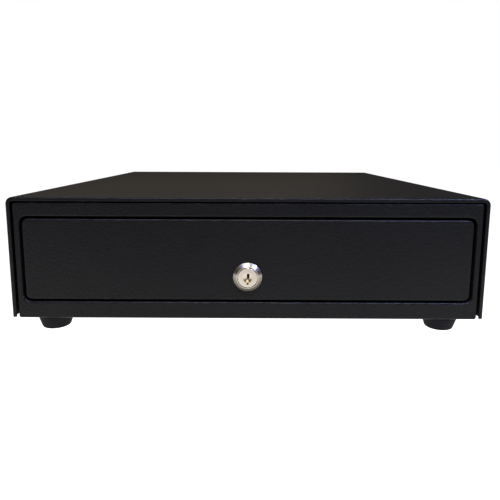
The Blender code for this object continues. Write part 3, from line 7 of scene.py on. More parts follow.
import bmesh
import bpy
import numpy as np
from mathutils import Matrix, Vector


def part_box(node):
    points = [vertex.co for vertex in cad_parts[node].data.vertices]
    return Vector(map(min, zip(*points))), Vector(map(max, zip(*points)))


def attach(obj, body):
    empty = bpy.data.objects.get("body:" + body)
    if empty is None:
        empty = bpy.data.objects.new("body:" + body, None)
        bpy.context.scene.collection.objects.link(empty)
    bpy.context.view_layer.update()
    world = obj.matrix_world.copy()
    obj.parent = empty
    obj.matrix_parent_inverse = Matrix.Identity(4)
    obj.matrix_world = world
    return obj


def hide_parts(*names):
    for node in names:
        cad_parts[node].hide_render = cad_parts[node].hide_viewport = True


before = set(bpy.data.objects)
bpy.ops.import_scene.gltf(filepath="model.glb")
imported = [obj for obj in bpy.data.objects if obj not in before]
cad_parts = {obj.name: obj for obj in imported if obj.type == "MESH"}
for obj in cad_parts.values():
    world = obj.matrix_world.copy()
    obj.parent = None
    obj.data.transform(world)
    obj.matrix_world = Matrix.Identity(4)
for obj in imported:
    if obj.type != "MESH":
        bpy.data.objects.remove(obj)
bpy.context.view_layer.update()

MM = 0.001
SAME_POINT = 1e-6  # points closer than this are one
POLE_RADIUS = 1e-7  # of the ring of points at a pole
STRAIGHT = 1e-6  # least turn of a round corner
SMALLEST = 1e-12  # keeps a division by a length from failing
EDGE_SHARE = 0.49  # of an edge, which a round corner may take at either end
GUARD_SHARE = 0.3  # of what the corners leave of an edge, before the extra point
CORNER_EXTRAS = 3  # points of a corner beyond the steps of its arc
ASIDE = (0.31, 0.83, -0.46)  # a direction that no wire follows
BEVEL_ANGLE = math.radians(30)
LOG = logging.getLogger("cash_drawer")


class Axis(Enum):
    """The direction that a profile is drawn or spun along."""

    X = 0
    Y = 1
    Z = 2


# ---------------------------------------------------------------- surfaces


@dataclass
class Shape:
    """Points and faces of one surface."""

    points: np.ndarray
    faces: list

    def moved(self, place: Sequence[float]) -> "Shape":
        """The same surface at another place."""
        return Shape(self.points + np.asarray(place, float), self.faces)


def grid(points: np.ndarray, ring_rows: bool = False, ring_columns: bool = False) -> Shape:
    """Quads over a grid of points, where row i and column j become corner (i, j).

    Args:
        points: array of shape (rows, columns, 3).
        ring_rows: the last row joins the first.
        ring_columns: the last column joins the first.

    Returns:
        The surface.
    """
    rows, columns = points.shape[:2]
    index = np.arange(rows * columns).reshape(rows, columns)
    if ring_rows:
        index = np.vstack([index, index[:1]])
    if ring_columns:
        index = np.hstack([index, index[:, :1]])
    quads = np.stack([index[:-1, :-1], index[:-1, 1:], index[1:, 1:], index[1:, :-1]], axis=-1)
    return Shape(points.reshape(-1, 3), quads.reshape(-1, 4).tolist())


def capped(shape: Shape, columns: int) -> Shape:
    """Close the first and the last ring of a grid, which have this many points, with a face each."""
    last = len(shape.points) - columns
    shape.faces += [list(range(columns)), list(range(last, last + columns))]
    return shape


def merged(shapes: Iterable[Shape]) -> Shape:
    """Several surfaces as one."""
    points, faces, start = [], [], 0
    for shape in shapes:
        points.append(shape.points)
        faces.extend([[corner + start for corner in face] for face in shape.faces])
        start += len(shape.points)
    return Shape(np.vstack(points), faces)


def fillet(corners: Sequence, radii, steps: int = 6, guard: float = 0.4 * MM) -> np.ndarray:
    """A closed outline with each corner rounded by an arc.

    At a corner P with unit directions u and v to its neighbours, the arc of radius r runs from
    P + t u to P + t v, where t = r / tan(half the corner's angle). One more point lies a little
    way along each straight, so that the shading of the flat stays flat.

    Args:
        corners: (n, 2) corner points.
        radii: one radius, or one for each corner.
        steps: parts of each arc.
        guard: distance from an arc to the extra point.

    Returns:
        Array of (n * (steps + 3), 2) points.
    """
    points = np.asarray(corners, float)
    radius = np.broadcast_to(np.asarray(radii, float), len(points)).copy()
    back = np.roll(points, 1, axis=0) - points
    ahead = np.roll(points, -1, axis=0) - points
    back_length = np.linalg.norm(back, axis=1)
    ahead_length = np.linalg.norm(ahead, axis=1)
    u = back / back_length[:, None]
    v = ahead / ahead_length[:, None]
    angle = np.arccos(np.clip((u * v).sum(1), -1, 1))
    reach = np.minimum(radius / np.tan(angle / 2), EDGE_SHARE * np.minimum(back_length, ahead_length))
    radius = reach * np.tan(angle / 2)
    middle = u + v
    middle /= np.maximum(np.linalg.norm(middle, axis=1), SMALLEST)[:, None]
    centre = points + middle * (radius / np.sin(angle / 2))[:, None]
    first = points + u * reach[:, None] - centre
    last = points + v * reach[:, None] - centre
    sweep = np.maximum(math.pi - angle, STRAIGHT)[:, None, None]
    share = np.linspace(0, 1, steps + 1)[None, :, None]
    arc = np.sin((1 - share) * sweep) * first[:, None] + np.sin(share * sweep) * last[:, None]
    arc = arc / np.sin(sweep) + centre[:, None]
    spare_back = back_length - reach - np.roll(reach, 1)
    spare_ahead = ahead_length - reach - np.roll(reach, -1)
    hold_back = np.minimum(guard, GUARD_SHARE * spare_back)[:, None]
    hold_ahead = np.minimum(guard, GUARD_SHARE * spare_ahead)[:, None]
    before = (centre + first + u * hold_back)[:, None]
    after = (centre + last + v * hold_ahead)[:, None]
    return np.concatenate([before, arc, after], axis=1).reshape(-1, 2)


def to_space(flat: np.ndarray, run: np.ndarray, axis: Axis) -> np.ndarray:
    """Flat coordinates and a run along the axis as points. The flat ones keep the axes' order."""
    first, second = flat[..., 0], flat[..., 1]
    run = np.broadcast_to(run, first.shape)
    order = {Axis.X: (run, first, second), Axis.Y: (first, run, second), Axis.Z: (first, second, run)}
    return np.stack(order[axis], axis=-1)


def extrusion(outline: np.ndarray, axis: Axis, start: float, end: float) -> Shape:
    """A closed outline carried straight along an axis, with flat ends.

    Args:
        outline: (n, 2) points.
        axis: direction of the run.
        start: place of the first end.
        end: place of the last end.

    Returns:
        The closed surface.
    """
    runs = np.array([start, end])[:, None]
    flat = np.broadcast_to(outline, (2, *outline.shape))
    return capped(grid(to_space(flat, runs, axis), ring_columns=True), len(outline))


def spun(profile: Sequence, axis: Axis, segments: int = 64, ring: bool = False) -> Shape:
    """A profile of (radius, run) turned about an axis: (r cos a, r sin a) beside the run.

    Args:
        profile: (n, 2) points. An open profile starts and ends on the axis.
        axis: the axis.
        segments: steps of the turn.
        ring: the profile closes on itself and leaves a bore.

    Returns:
        The surface.
    """
    rows = np.asarray(profile, float)
    turn = np.linspace(0, math.tau, segments, endpoint=False)
    flat = rows[:, :1, None] * np.stack([np.cos(turn), np.sin(turn)], axis=-1)[None]
    return grid(to_space(flat, rows[:, 1:2], axis), ring_rows=ring, ring_columns=True)


def rounded_turning(profile: Sequence, radius: float, steps: int = 3) -> np.ndarray:
    """A turned profile with its edges broken by a small radius, save where it meets the axis."""
    points = np.asarray(profile, float)
    radii = np.where(points[:, 0] < POLE_RADIUS, 0.0, radius)
    return fillet(points, radii, steps, guard=radius * 0.6)


def box_shape(low: Sequence[float], high: Sequence[float]) -> Shape:
    """A plain block between two corners."""
    return extrusion(rectangle((low[0], high[0]), (low[1], high[1])), Axis.Z, low[2], high[2])


def rectangle(x: Sequence[float], z: Sequence[float], inset: float = 0.0) -> np.ndarray:
    """Corners of a rectangle between pairs of coordinates, drawn in by an inset all round."""
    left, right, low, high = x[0] + inset, x[1] - inset, z[0] + inset, z[1] - inset
    return np.array([(left, low), (right, low), (right, high), (left, high)])


def tube_along(path: np.ndarray, radius: float, sides: int = 12) -> Shape:
    """A round wire along a path.

    The frame at each point is the tangent, its cross product with a fixed direction that the
    path never follows, and the product of those two.

    Args:
        path: (n, 3) points.
        radius: the wire's radius.
        sides: sides of its section.

    Returns:
        The closed surface.
    """
    tangent = np.gradient(path, axis=0)
    tangent /= np.linalg.norm(tangent, axis=1)[:, None]
    aside = np.cross(tangent, np.array(ASIDE))
    aside /= np.linalg.norm(aside, axis=1)[:, None]
    above = np.cross(tangent, aside)
    turn = np.linspace(0, math.tau, sides, endpoint=False)
    ring = aside[:, None] * np.cos(turn)[None, :, None] + above[:, None] * np.sin(turn)[None, :, None]
    return capped(grid(path[:, None] + radius * ring, ring_columns=True), sides)


# ---------------------------------------------------------------- finishes


class Nodes:
    """A short way to add and join the nodes of one material."""

    def __init__(self, material: bpy.types.Material) -> None:
        """Clear the material and give it a Principled shader."""
        material.use_nodes = True
        self.tree = material.node_tree
        self.tree.nodes.clear()
        self.shader = self.add("ShaderNodeBsdfPrincipled")
        output = self.add("ShaderNodeOutputMaterial")
        self.join(self.shader, "BSDF", output, "Surface")
        self.place = self.add("ShaderNodeTexCoord")

    def add(self, kind: str, **values) -> bpy.types.Node:
        """A node with the given socket values, where a name's underscores stand for spaces."""
        node = self.tree.nodes.new(kind)
        for name, value in values.items():
            node.inputs[name.replace("_", " ")].default_value = value
        return node

    def join(self, source, output: str, target, socket: str) -> None:
        """Join one node's output to another's socket."""
        self.tree.links.new(source.outputs[output], target.inputs[socket])

    def noise(self, size: float, detail: float = 2.0, distortion: float = 0.0) -> bpy.types.Node:
        """Noise in the object's own coordinates, whose grain is about the size given in metres."""
        node = self.add("ShaderNodeTexNoise", Scale=1 / size, Detail=detail, Distortion=distortion)
        self.join(self.place, "Object", node, "Vector")
        return node

    def ramp(self, source, low, high, span=(0.3, 0.7)) -> bpy.types.Node:
        """A colour ramp between two colours over part of the input's range."""
        node = self.add("ShaderNodeValToRGB")
        for element, place, colour in zip(node.color_ramp.elements, span, (low, high)):
            element.position = place
            element.color = (*colour, 1.0)
        self.join(source, "Fac", node, "Fac")
        return node

    def rough(self, source, low: float, high: float) -> None:
        """Let the roughness follow a texture between two values."""
        node = self.add("ShaderNodeMapRange", To_Min=low, To_Max=high)
        self.join(source, "Fac", node, "Value")
        self.join(node, "Result", self.shader, "Roughness")

    def bump(self, source, strength: float, depth: float, under=None) -> bpy.types.Node:
        """Raise the surface by a texture, over another bump if one is given."""
        node = self.add("ShaderNodeBump", Strength=strength, Distance=depth)
        self.join(source, "Fac", node, "Height")
        if under:
            self.join(under, "Normal", node, "Normal")
        return node


@dataclass(frozen=True)
class Finish:
    """One surface finish: its slot in the record and how it looks."""

    slot: str
    colour: tuple = (0.5, 0.5, 0.5)
    tone: tuple = (0.5, 0.5, 0.5)
    roughness: tuple = (0.4, 0.5)
    metallic: float = 0.0
    specular: float = 0.5
    grain: float = 1.0 * MM
    relief: float = 0.1 * MM
    strength: float = 0.3
    patches: float = 30 * MM
    detail: float = 3.0

    def material(self, name: str) -> bpy.types.Material:
        """The finish as a procedural material."""
        material = bpy.data.materials.new(name)
        nodes = Nodes(material)
        self.dress(nodes)
        return material

    def dress(self, nodes: Nodes) -> None:
        """Colour and gloss that wander a little, over a fine relief."""
        shader = nodes.shader
        shader.inputs["Metallic"].default_value = self.metallic
        shader.inputs["Specular IOR Level"].default_value = self.specular
        broad = nodes.noise(self.patches, self.detail)
        fine = nodes.noise(self.grain, self.detail)
        tint = nodes.ramp(broad, self.colour, self.tone)
        nodes.join(tint, "Color", shader, "Base Color")
        nodes.rough(broad, *self.roughness)
        nodes.join(nodes.bump(fine, self.strength, self.relief), "Normal", shader, "Normal")


@dataclass(frozen=True)
class PowderCoat(Finish):
    """Black powder coat with a fine wrinkle."""

    slot: str = "black_steel"
    colour: tuple = (0.0024, 0.0024, 0.0024)
    tone: tuple = (0.0032, 0.0031, 0.0030)
    roughness: tuple = (0.25, 0.36)
    specular: float = 0.11
    grain: float = 1.5 * MM
    relief: float = 0.55 * MM
    strength: float = 1.0
    patches: float = 60 * MM
    detail: float = 2.0
    gloss_tint: tuple = (1.0, 0.985, 0.87, 1.0)
    warp: float = 0.6
    speck: float = 0.35 * MM
    speck_detail: float = 1.0
    speck_relief: float = 0.03 * MM
    speck_strength: float = 0.25

    def dress(self, nodes: Nodes) -> None:
        """Wrinkles about a millimetre apart with a finer grain on them."""
        shader = nodes.shader
        shader.inputs["Specular Tint"].default_value = self.gloss_tint
        shader.inputs["Specular IOR Level"].default_value = self.specular
        broad = nodes.noise(self.patches, self.detail)
        wrinkle = nodes.noise(self.grain, self.detail, self.warp)
        speck = nodes.noise(self.speck, self.speck_detail)
        tint = nodes.ramp(broad, self.colour, self.tone)
        nodes.join(tint, "Color", shader, "Base Color")
        nodes.rough(wrinkle, *self.roughness)
        under = nodes.bump(wrinkle, self.strength, self.relief)
        over = nodes.bump(speck, self.speck_strength, self.speck_relief, under=under)
        nodes.join(over, "Normal", shader, "Normal")


@dataclass(frozen=True)
class PlatedSteel(Finish):
    """Zinc or nickel plate, or bare brass or spring steel."""

    slot: str = "zinc_steel"
    colour: tuple = (0.30, 0.30, 0.29)
    tone: tuple = (0.38, 0.38, 0.365)
    roughness: tuple = (0.27, 0.38)
    metallic: float = 1.0
    grain: float = 0.6 * MM
    relief: float = 0.02 * MM
    strength: float = 0.25


@dataclass(frozen=True)
class Wire(Finish):
    """Enamelled winding wire."""

    slot: str = "copper_coil"
    colour: tuple = (0.36, 0.09, 0.035)
    tone: tuple = (0.44, 0.13, 0.05)
    roughness: tuple = (0.22, 0.32)
    metallic: float = 0.6
    grain: float = 0.5 * MM


POWDER = PowderCoat(slot="black_steel")
ZINC = PlatedSteel(slot="zinc_steel")
NICKEL = PlatedSteel(
    slot="chrome", colour=(0.385, 0.337, 0.262), tone=(0.44, 0.39, 0.305), roughness=(0.22, 0.30),
    grain=0.5 * MM, relief=0.01 * MM, strength=0.15,
)
BRASS = PlatedSteel(slot="brass", colour=(0.66, 0.47, 0.20), tone=(0.74, 0.55, 0.26), roughness=(0.25, 0.35))
SPRING = PlatedSteel(
    slot="spring_steel", colour=(0.060, 0.060, 0.062), tone=(0.085, 0.084, 0.084), roughness=(0.34, 0.46)
)
RUBBER = Finish(
    slot="rubber", colour=(0.006, 0.006, 0.007), tone=(0.009, 0.009, 0.010), roughness=(0.62, 0.75),
    specular=0.06, grain=0.5 * MM, relief=0.05 * MM, strength=0.4,
)
PLASTIC = Finish(
    slot="black_plastic", colour=(0.016, 0.016, 0.017), tone=(0.020, 0.020, 0.021), roughness=(0.42, 0.52),
    specular=0.24, grain=0.45 * MM, relief=0.04 * MM, strength=0.35,
)
SLEEVE = Finish(
    slot="black_plastic", colour=(0.012, 0.012, 0.013), tone=(0.018, 0.018, 0.019), roughness=(0.5, 0.6),
    grain=0.8 * MM, relief=0.08 * MM, strength=0.5,
)
NYLON = Finish(
    slot="white_nylon", colour=(0.66, 0.65, 0.60), tone=(0.72, 0.71, 0.66), roughness=(0.35, 0.45),
    grain=0.8 * MM, relief=0.02 * MM, strength=0.2,
)
COPPER = Wire(slot="copper_coil")


# ---------------------------------------------------------------- pieces


@dataclass
class Piece:
    """One finished piece: its surface, where it rides and what it stands for."""

    name: str
    shapes: list
    finish: Finish
    body: str
    nodes: tuple = ()
    bevel: float = 0.0
    sharp: float = 38.0

    def make(self) -> bpy.types.Object:
        """Build the mesh, dress it and attach it to its body."""
        whole = merged(self.shapes)
        mesh = bpy.data.meshes.new(self.name)
        mesh.from_pydata(whole.points.tolist(), [], whole.faces)
        shape = bmesh.new()
        shape.from_mesh(mesh)
        bmesh.ops.remove_doubles(shape, verts=shape.verts, dist=SAME_POINT)
        bmesh.ops.recalc_face_normals(shape, faces=shape.faces)
        shape.to_mesh(mesh)
        shape.free()
        mesh.shade_smooth()
        mesh.set_sharp_from_angle(angle=math.radians(self.sharp))
        mesh.materials.append(self.finish.material(self.name))
        obj = bpy.data.objects.new(self.name, mesh)
        bpy.context.scene.collection.objects.link(obj)
        if self.bevel:
            rounding = obj.modifiers.new("edges", "BEVEL")
            rounding.width = self.bevel
            rounding.segments = 2
            rounding.limit_method = "ANGLE"
            rounding.angle_limit = BEVEL_ANGLE
            rounding.harden_normals = True
        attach(obj, self.body)
        if self.nodes:
            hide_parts(*self.nodes)
        LOG.info("%s: %d faces", self.name, len(mesh.polygons))
        return obj


def solid_shape(node: str, tolerance: float = 1.0) -> Shape:
    """A node's surface in place, with its doubles merged and its flats made into whole faces."""
    source = bpy.data.objects[node]
    shape = bmesh.new()
    shape.from_mesh(source.data)
    shape.transform(source.matrix_world)
    bmesh.ops.remove_doubles(shape, verts=shape.verts, dist=SAME_POINT)
    bmesh.ops.dissolve_limit(
        shape, angle_limit=math.radians(tolerance), verts=shape.verts, edges=shape.edges, delimit=set()
    )
    shape.verts.index_update()
    points = np.array([vert.co[:] for vert in shape.verts])
    faces = [[vert.index for vert in face.verts] for face in shape.faces]
    shape.free()
    return Shape(points, faces)


def dress_node(node: str, finish: Finish) -> None:
    """Give a carried-over node its finish."""
    obj = bpy.data.objects[node]
    obj.data.materials.clear()
    obj.data.materials.append(finish.material(f"{node}_finish"))
    LOG.info("%s: carried over", node)


def extent(node: str) -> tuple:
    """Lowest and highest corners of a node at rest, as arrays."""
    low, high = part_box(node)
    return np.array(low), np.array(high)


def centre_line(low: np.ndarray, high: np.ndarray, axis: Axis) -> np.ndarray:
    """Where an extent's centre line crosses zero on the given axis."""
    middle = (low + high) / 2
    middle[axis.value] = 0.0
    return middle


class Assembly:
    """A group of pieces that is built and then dressed."""

    pieces: list

    def build(self) -> None:
        """Work out the surfaces."""
        self.pieces = []

    def dress(self) -> None:
        """Make every piece."""
        for item in self.pieces:
            item.make()


@dataclass
class Cover(Assembly):
    """The folded cover with its rolled front lip."""

    sheet: float = 1.2 * MM
    corner: float = 6 * MM
    lip: float = 3.5 * MM
    lip_round: float = 1.5 * MM
    flange: float = 14 * MM
    guard: float = 2 * MM
    least: float = 0.5 * MM

    def path(self, inset: np.ndarray) -> np.ndarray:
        """Open outline of the sides and top at each inset: up one side, over and down the other."""
        low, high = extent("case_cover")
        half = high[0] - inset
        top = high[2] - inset
        radius = np.maximum(self.corner - inset, self.least)
        turn = np.linspace(0, math.pi / 2, 9)[:, None]
        across, up = half - radius + radius * np.cos(turn), top - radius + radius * np.sin(turn)
        right = np.stack([across, up], axis=-1)
        guard = np.stack([half - radius - self.guard, top], axis=-1)[None]
        under = np.stack([half, top - radius - self.guard], axis=-1)[None]
        foot = np.stack([half, np.full_like(half, low[2])], axis=-1)[None]
        one = np.concatenate([foot, under, right, guard])
        other = one[::-1] * np.array([-1.0, 1.0])
        return np.concatenate([one, other]).transpose(1, 0, 2)

    def build(self) -> None:
        """The section (inset, depth) with its round lip is carried along the path over the case."""
        low, high = extent("case_cover")
        front, back = low[1], high[1]
        t = self.sheet
        section = fillet(
            [
                (0, back), (0, front), (self.lip, front), (self.lip, front + t), (t, front + t),
                (t, back - t), (self.flange, back - t), (self.flange, back),
            ],
            [0.9 * MM, self.lip_round, 0.55 * MM, 0.1 * MM, 0.5 * MM, 0.3 * MM, 0.1 * MM, 0.1 * MM],
            steps=7,
            guard=0.6 * MM,
        )
        outlines = self.path(section[:, 0])
        points = to_space(outlines, section[:, 1:2], Axis.Y)
        shape = grid(points, ring_rows=True)
        rows, columns = points.shape[:2]
        shape.faces += [list(range(start, rows * columns, columns)) for start in (0, columns - 1)]
        self.pieces = [Piece("cover", [shape], POWDER, "case", ("case_cover",))]


@dataclass
class Frame(Assembly):
    """The folded front frame round the drawer."""

    sheet: float = 1.2 * MM
    bend: float = 1.5 * MM
    corner: float = 2.0 * MM
    window_corner: float = 6.5 * MM
    jamb: float = 4.9 * MM
    sill: float = 15.0 * MM
    header: float = 12.4 * MM
    rise: float = 0.6 * MM
    flange: float = 10.0 * MM
    edge: float = 0.2 * MM
    run: float = 6 * MM
    least: float = 0.6 * MM

    def ring(self, x, z, inset: float, radius: float) -> np.ndarray:
        """One round-cornered rectangle of the ring that runs round the frame."""
        return fillet(rectangle(x, z, inset), radius, steps=10, guard=1.5 * MM)

    def build(self) -> None:
        """Rings run from the outer flange over the face and back along the window's flange."""
        low, high = extent("front_frame")
        half, base, top = high[0], low[2], high[2] + self.rise
        face, back = low[1], high[1]
        t, flange = self.sheet, face + self.flange
        outer = (-half, half), (base, top)
        window = (-half + self.jamb, half - self.jamb), (base + self.sill, top - self.header)
        steps = 8
        corner = steps + CORNER_EXTRAS
        outward = [(t, flange), (0, flange), (0, face), (self.run, face)]
        inward = [(-self.run, face), (0, face), (0, back), (-t, back)]
        edges = [0, self.edge, self.bend, 0]
        over = fillet(outward, edges, steps, guard=0.6 * MM)[: 3 * corner]
        into = fillet(inward, edges[::-1], steps, guard=0.6 * MM)[corner:]
        rings = [self.ring(*outer, inset, max(self.corner - inset, self.least)) for inset, _ in over]
        rings += [self.ring(*window, inset, self.window_corner - inset) for inset, _ in into]
        rings += [self.ring(*window, -t, self.window_corner + t), self.ring(*outer, t, self.corner - t)]
        depths = np.concatenate([over[:, 1], into[:, 1], [face + t, face + t]])
        shape = grid(to_space(np.array(rings), depths[:, None], Axis.Y), ring_rows=True, ring_columns=True)
        self.pieces = [Piece("front_frame_fine", [shape], POWDER, "case", ("front_frame",))]


@dataclass
class Fascia(Assembly):
    """The drawer front: a folded pan with round corners."""

    sheet: float = 1.2 * MM
    bend: float = 1.3 * MM
    corner: float = 5.0 * MM
    edge: float = 0.2 * MM
    run: float = 20 * MM
    least: float = 0.8 * MM

    def build(self) -> None:
        """Rings run from the flange's inside over its edge, round the bend and on to the face."""
        low, high = extent("drawer_front")
        face, back = low[1], high[1]
        t, steps = self.sheet, 8
        pan = [(t, back), (0, back), (0, face), (self.run, face)]
        path = fillet(pan, [0, self.edge, self.bend, 0], steps, guard=0.6 * MM)[: 3 * (steps + CORNER_EXTRAS)]
        path = np.vstack([[(t, face + t)], path])
        x, z = (low[0], high[0]), (low[2], high[2])
        rings = [
            fillet(rectangle(x, z, inset), max(self.corner - inset, self.least), steps=10, guard=1.2 * MM)
            for inset, _ in path
        ]
        points = to_space(np.array(rings), path[:, 1:2], Axis.Y)
        shape = capped(grid(points, ring_columns=True), points.shape[1])
        self.pieces = [Piece("fascia", [shape], POWDER, "drawer", ("drawer_front",))]


@dataclass
class Lock(Assembly):
    """Cam lock: coned collar, plug with a keyway, and the wafers seen in it."""

    plug_radius: float = 8.5 * MM
    groove: float = 0.55 * MM
    headings: int = 144
    rim: float = 1.0 * MM
    keyway_width: float = 2.3 * MM
    keyway_height: float = 9.6 * MM
    keyway_drop: float = 1.2 * MM
    keyway_depth: float = 13 * MM
    jog: float = 0.45 * MM
    dish_radius: float = 3.9 * MM
    dish_depth: float = 0.8 * MM
    step: float = 3.7 * MM
    throat: float = 6.3 * MM
    wall: float = 0.45 * MM
    sunk: float = 0.3 * MM
    edge: float = 1.0 * MM
    plug_edge: float = 0.3 * MM
    stem: tuple = ((8.5, 3.4), (6.0, 3.4), (6.0, 22.0), (3.0, 22.0), (3.0, 30.4), (0.0, 30.4))
    wafer_half: float = 1.6 * MM
    wafer_sheet: float = 0.6 * MM
    wafer_span: tuple = (-5.0 * MM, -2.7 * MM)

    def build(self) -> None:
        """The collar is turned; the plug's face is a grid of rings from the keyway to the rim."""
        low, high = extent("lock_barrel")
        centre = centre_line(low, high, Axis.Y)
        front, rear, radius = low[1], high[1], high[0]
        flat, bore = self.plug_radius + self.rim, self.plug_radius + self.groove
        step, seat = front + self.step, frame_face() - self.sunk
        barrel = bore + self.wall
        profile = [
            (bore, step), (self.throat, step), (self.throat, rear), (barrel, rear), (barrel, seat),
            (radius, seat), (radius, seat - self.edge), (flat, front), (bore, front),
        ]
        radii = np.array([0, 0, 0, 0.2, 0.1, 0.15, 0.9, 0.35, 0.12]) * MM
        collar = spun(fillet(profile, radii, steps=6, guard=0.25 * MM), Axis.Y, 96, ring=True).moved(centre)
        self.pieces = [
            Piece("lock_collar", [collar], NICKEL, "drawer", ("lock_barrel",)),
            Piece("lock_cylinder", [self.plug(front).moved(centre)], NICKEL, "lock", ("lock_plug",)),
            Piece("lock_wafers", self.wafers(front, centre), BRASS, "lock"),
        ]

    def keyway(self) -> np.ndarray:
        """The slot's S-shaped outline, as its distance from the axis along evenly spread headings."""
        w, h, jog = self.keyway_width / 2, self.keyway_height / 2, self.jog
        corners = [
            (-w + jog, -h), (w - jog / 2, -h), (w - jog, -h * 0.25), (w + jog, h * 0.12), (w + jog, h),
            (-w + jog, h), (-w + jog * 1.2, h * 0.3), (-w - jog, 0.0),
        ]
        radii = np.array([0.6, 0.6, 0.3, 0.3, 0.4, 0.4, 0.3, 0.3]) * MM
        outline = fillet(corners, radii, steps=4, guard=0.1 * MM)[:, None]
        share = np.linspace(0, 1, 40, endpoint=False)[None, :, None]
        dense = (outline * (1 - share) + np.roll(outline, -1, axis=0) * share).reshape(-1, 2)
        dense[:, 1] -= self.keyway_drop
        heading = np.linspace(-math.pi, math.pi, self.headings, endpoint=False)
        bearing = np.arctan2(dense[:, 1], dense[:, 0])
        order = np.argsort(bearing)
        reach = np.interp(heading, bearing[order], np.linalg.norm(dense, axis=1)[order], period=2 * math.pi)
        return reach[:, None] * np.stack([np.cos(heading), np.sin(heading)], axis=-1)

    def plug(self, front: float) -> Shape:
        """The plug's rings go from the keyway's outline to circles, then over the rim.

        The dish's depth falls with the square of the distance from the axis.
        """
        slot = self.keyway()
        apart = np.linalg.norm(slot, axis=1)
        circle = slot / apart[:, None]
        outer = self.keyway_height / 2 + self.keyway_drop + 0.3 * MM
        rings, depths = [slot], [np.full(len(slot), self.keyway_depth)]
        for share in np.linspace(0, 1, 9):
            reach = apart + (outer - apart) * share
            rings.append(reach[:, None] * circle)
            depths.append(self.dish_depth * np.maximum(1 - (reach / self.dish_radius) ** 2, 0))
        edge = self.plug_edge
        turn = np.linspace(0, math.pi / 2, 5)[1:]
        rows = [(7.0 * MM, 0.0), (self.plug_radius - 2 * edge, 0.0), (self.plug_radius - edge, 0.0)]
        rows += [(self.plug_radius - edge + edge * math.sin(a), edge * (1 - math.cos(a))) for a in turn]
        rows += [(max(reach * MM, POLE_RADIUS), depth * MM) for reach, depth in self.stem]
        for reach, depth in rows:
            rings.append(circle * reach)
            depths.append(np.full(len(slot), depth))
        points = to_space(np.array(rings), front + np.array(depths), Axis.Y)
        return capped(grid(points, ring_columns=True), points.shape[1])

    def wafers(self, front: float, centre: np.ndarray) -> list:
        """Five brass wafers whose ends stand in the lower part of the keyway."""
        shapes = []
        for number in range(5):
            y = front + (2.2 + 2.0 * number) * MM
            rise = (0.6 + 0.35 * ((number * 2) % 3)) * MM
            low = (-self.wafer_half, y, self.wafer_span[0])
            high = (self.wafer_half, y + self.wafer_sheet, self.wafer_span[1] + rise)
            shapes.append(box_shape(low, high).moved(centre))
        return shapes


@dataclass
class Feet(Assembly):
    """Tapered rubber feet."""

    bottom: float = 12 * MM
    bore: float = 2.4 * MM
    recess: float = 5.4 * MM
    recess_depth: float = 7 * MM
    band: float = 2.0 * MM
    names: tuple = ("front_left", "front_right", "rear_left", "rear_right")

    def build(self) -> None:
        """A tapered profile with soft edges, spun about each foot's own axis."""
        self.pieces = []
        radii = np.array([0.2, 0.8, 1.2, 1.8, 0.5, 0.3, 0.2]) * MM
        for name in self.names:
            low, high = extent(f"foot_{name}")
            radius, top = (high[0] - low[0]) / 2, high[2]
            profile = [
                (self.bore, top), (radius, top), (radius, top - self.band), (self.bottom, 0.0),
                (self.recess, 0.0), (self.recess, self.recess_depth), (self.bore, self.recess_depth),
            ]
            shape = spun(fillet(profile, radii, steps=6), Axis.Z, 72, ring=True)
            shape = shape.moved(centre_line(low, high, Axis.Z))
            self.pieces.append(Piece(f"rubber_foot_{name}", [shape], RUBBER, "case", (f"foot_{name}",)))


def frame_face() -> float:
    """The plane of the drawer front's face."""
    return extent("drawer_front")[0][1]


def cell_ring(x: Sequence[float], y: Sequence[float], steps: int) -> np.ndarray:
    """Corners of a rectangular cell, each repeated as often as a fillet has points."""
    return np.repeat(rectangle(x, y), steps + CORNER_EXTRAS, axis=0)


def cup_tile(cell, cup, rim: float, floor: float, corner: float, scoop, edge: float, steps: int = 6) -> Shape:
    """One cell of a moulded tray: a flat rim, a rolled edge, walls and a scooped bottom.

    Rings run from the cell's border over a quarter circle of radius e at the edge and down to the
    bottom, where the ring's half sizes shrink by Rx (1 - cos a) and Ry (1 - cos a) while its
    height is the floor's plus Rz (1 - sin a).

    Args:
        cell: the cell's borders as pairs of x and of y.
        cup: the cup's walls as pairs of x and of y.
        rim: height of the rim.
        floor: height of the cup's floor.
        corner: radius of the cup's corners seen from above.
        scoop: (Rx, Ry, Rz) of the bottom's round.
        edge: radius e of the edge.
        steps: parts of each corner's arc.

    Returns:
        The tile, open below and at its borders.
    """
    x, y = np.asarray(cup[0], float), np.asarray(cup[1], float)
    rings = [cell_ring(cell[0], cell[1], steps)]
    heights = [rim]
    inward = np.array([1.0, -1.0])
    for angle in np.linspace(0, math.pi / 2, 4):
        out = edge * (1 - math.sin(angle))
        rings.append(fillet(rectangle(x, y, -out), corner + out, steps))
        heights.append(rim - edge * (1 - math.cos(angle)))
    for angle in np.linspace(0, math.pi / 2, 9):
        give = inward * (1 - math.cos(angle))
        radius = max(corner - 0.5 * scoop[0] * give[0], 1.5 * MM)
        rings.append(fillet(rectangle(x + scoop[0] * give, y + scoop[1] * give), radius, steps))
        heights.append(floor + scoop[2] * (1 - math.sin(angle)))
    shape = grid(to_space(np.array(rings), np.array(heights)[:, None], Axis.Z), ring_columns=True)
    columns = len(rings[0])
    last = len(shape.points) - columns
    shape.faces.append(list(range(last, last + columns)))
    return shape


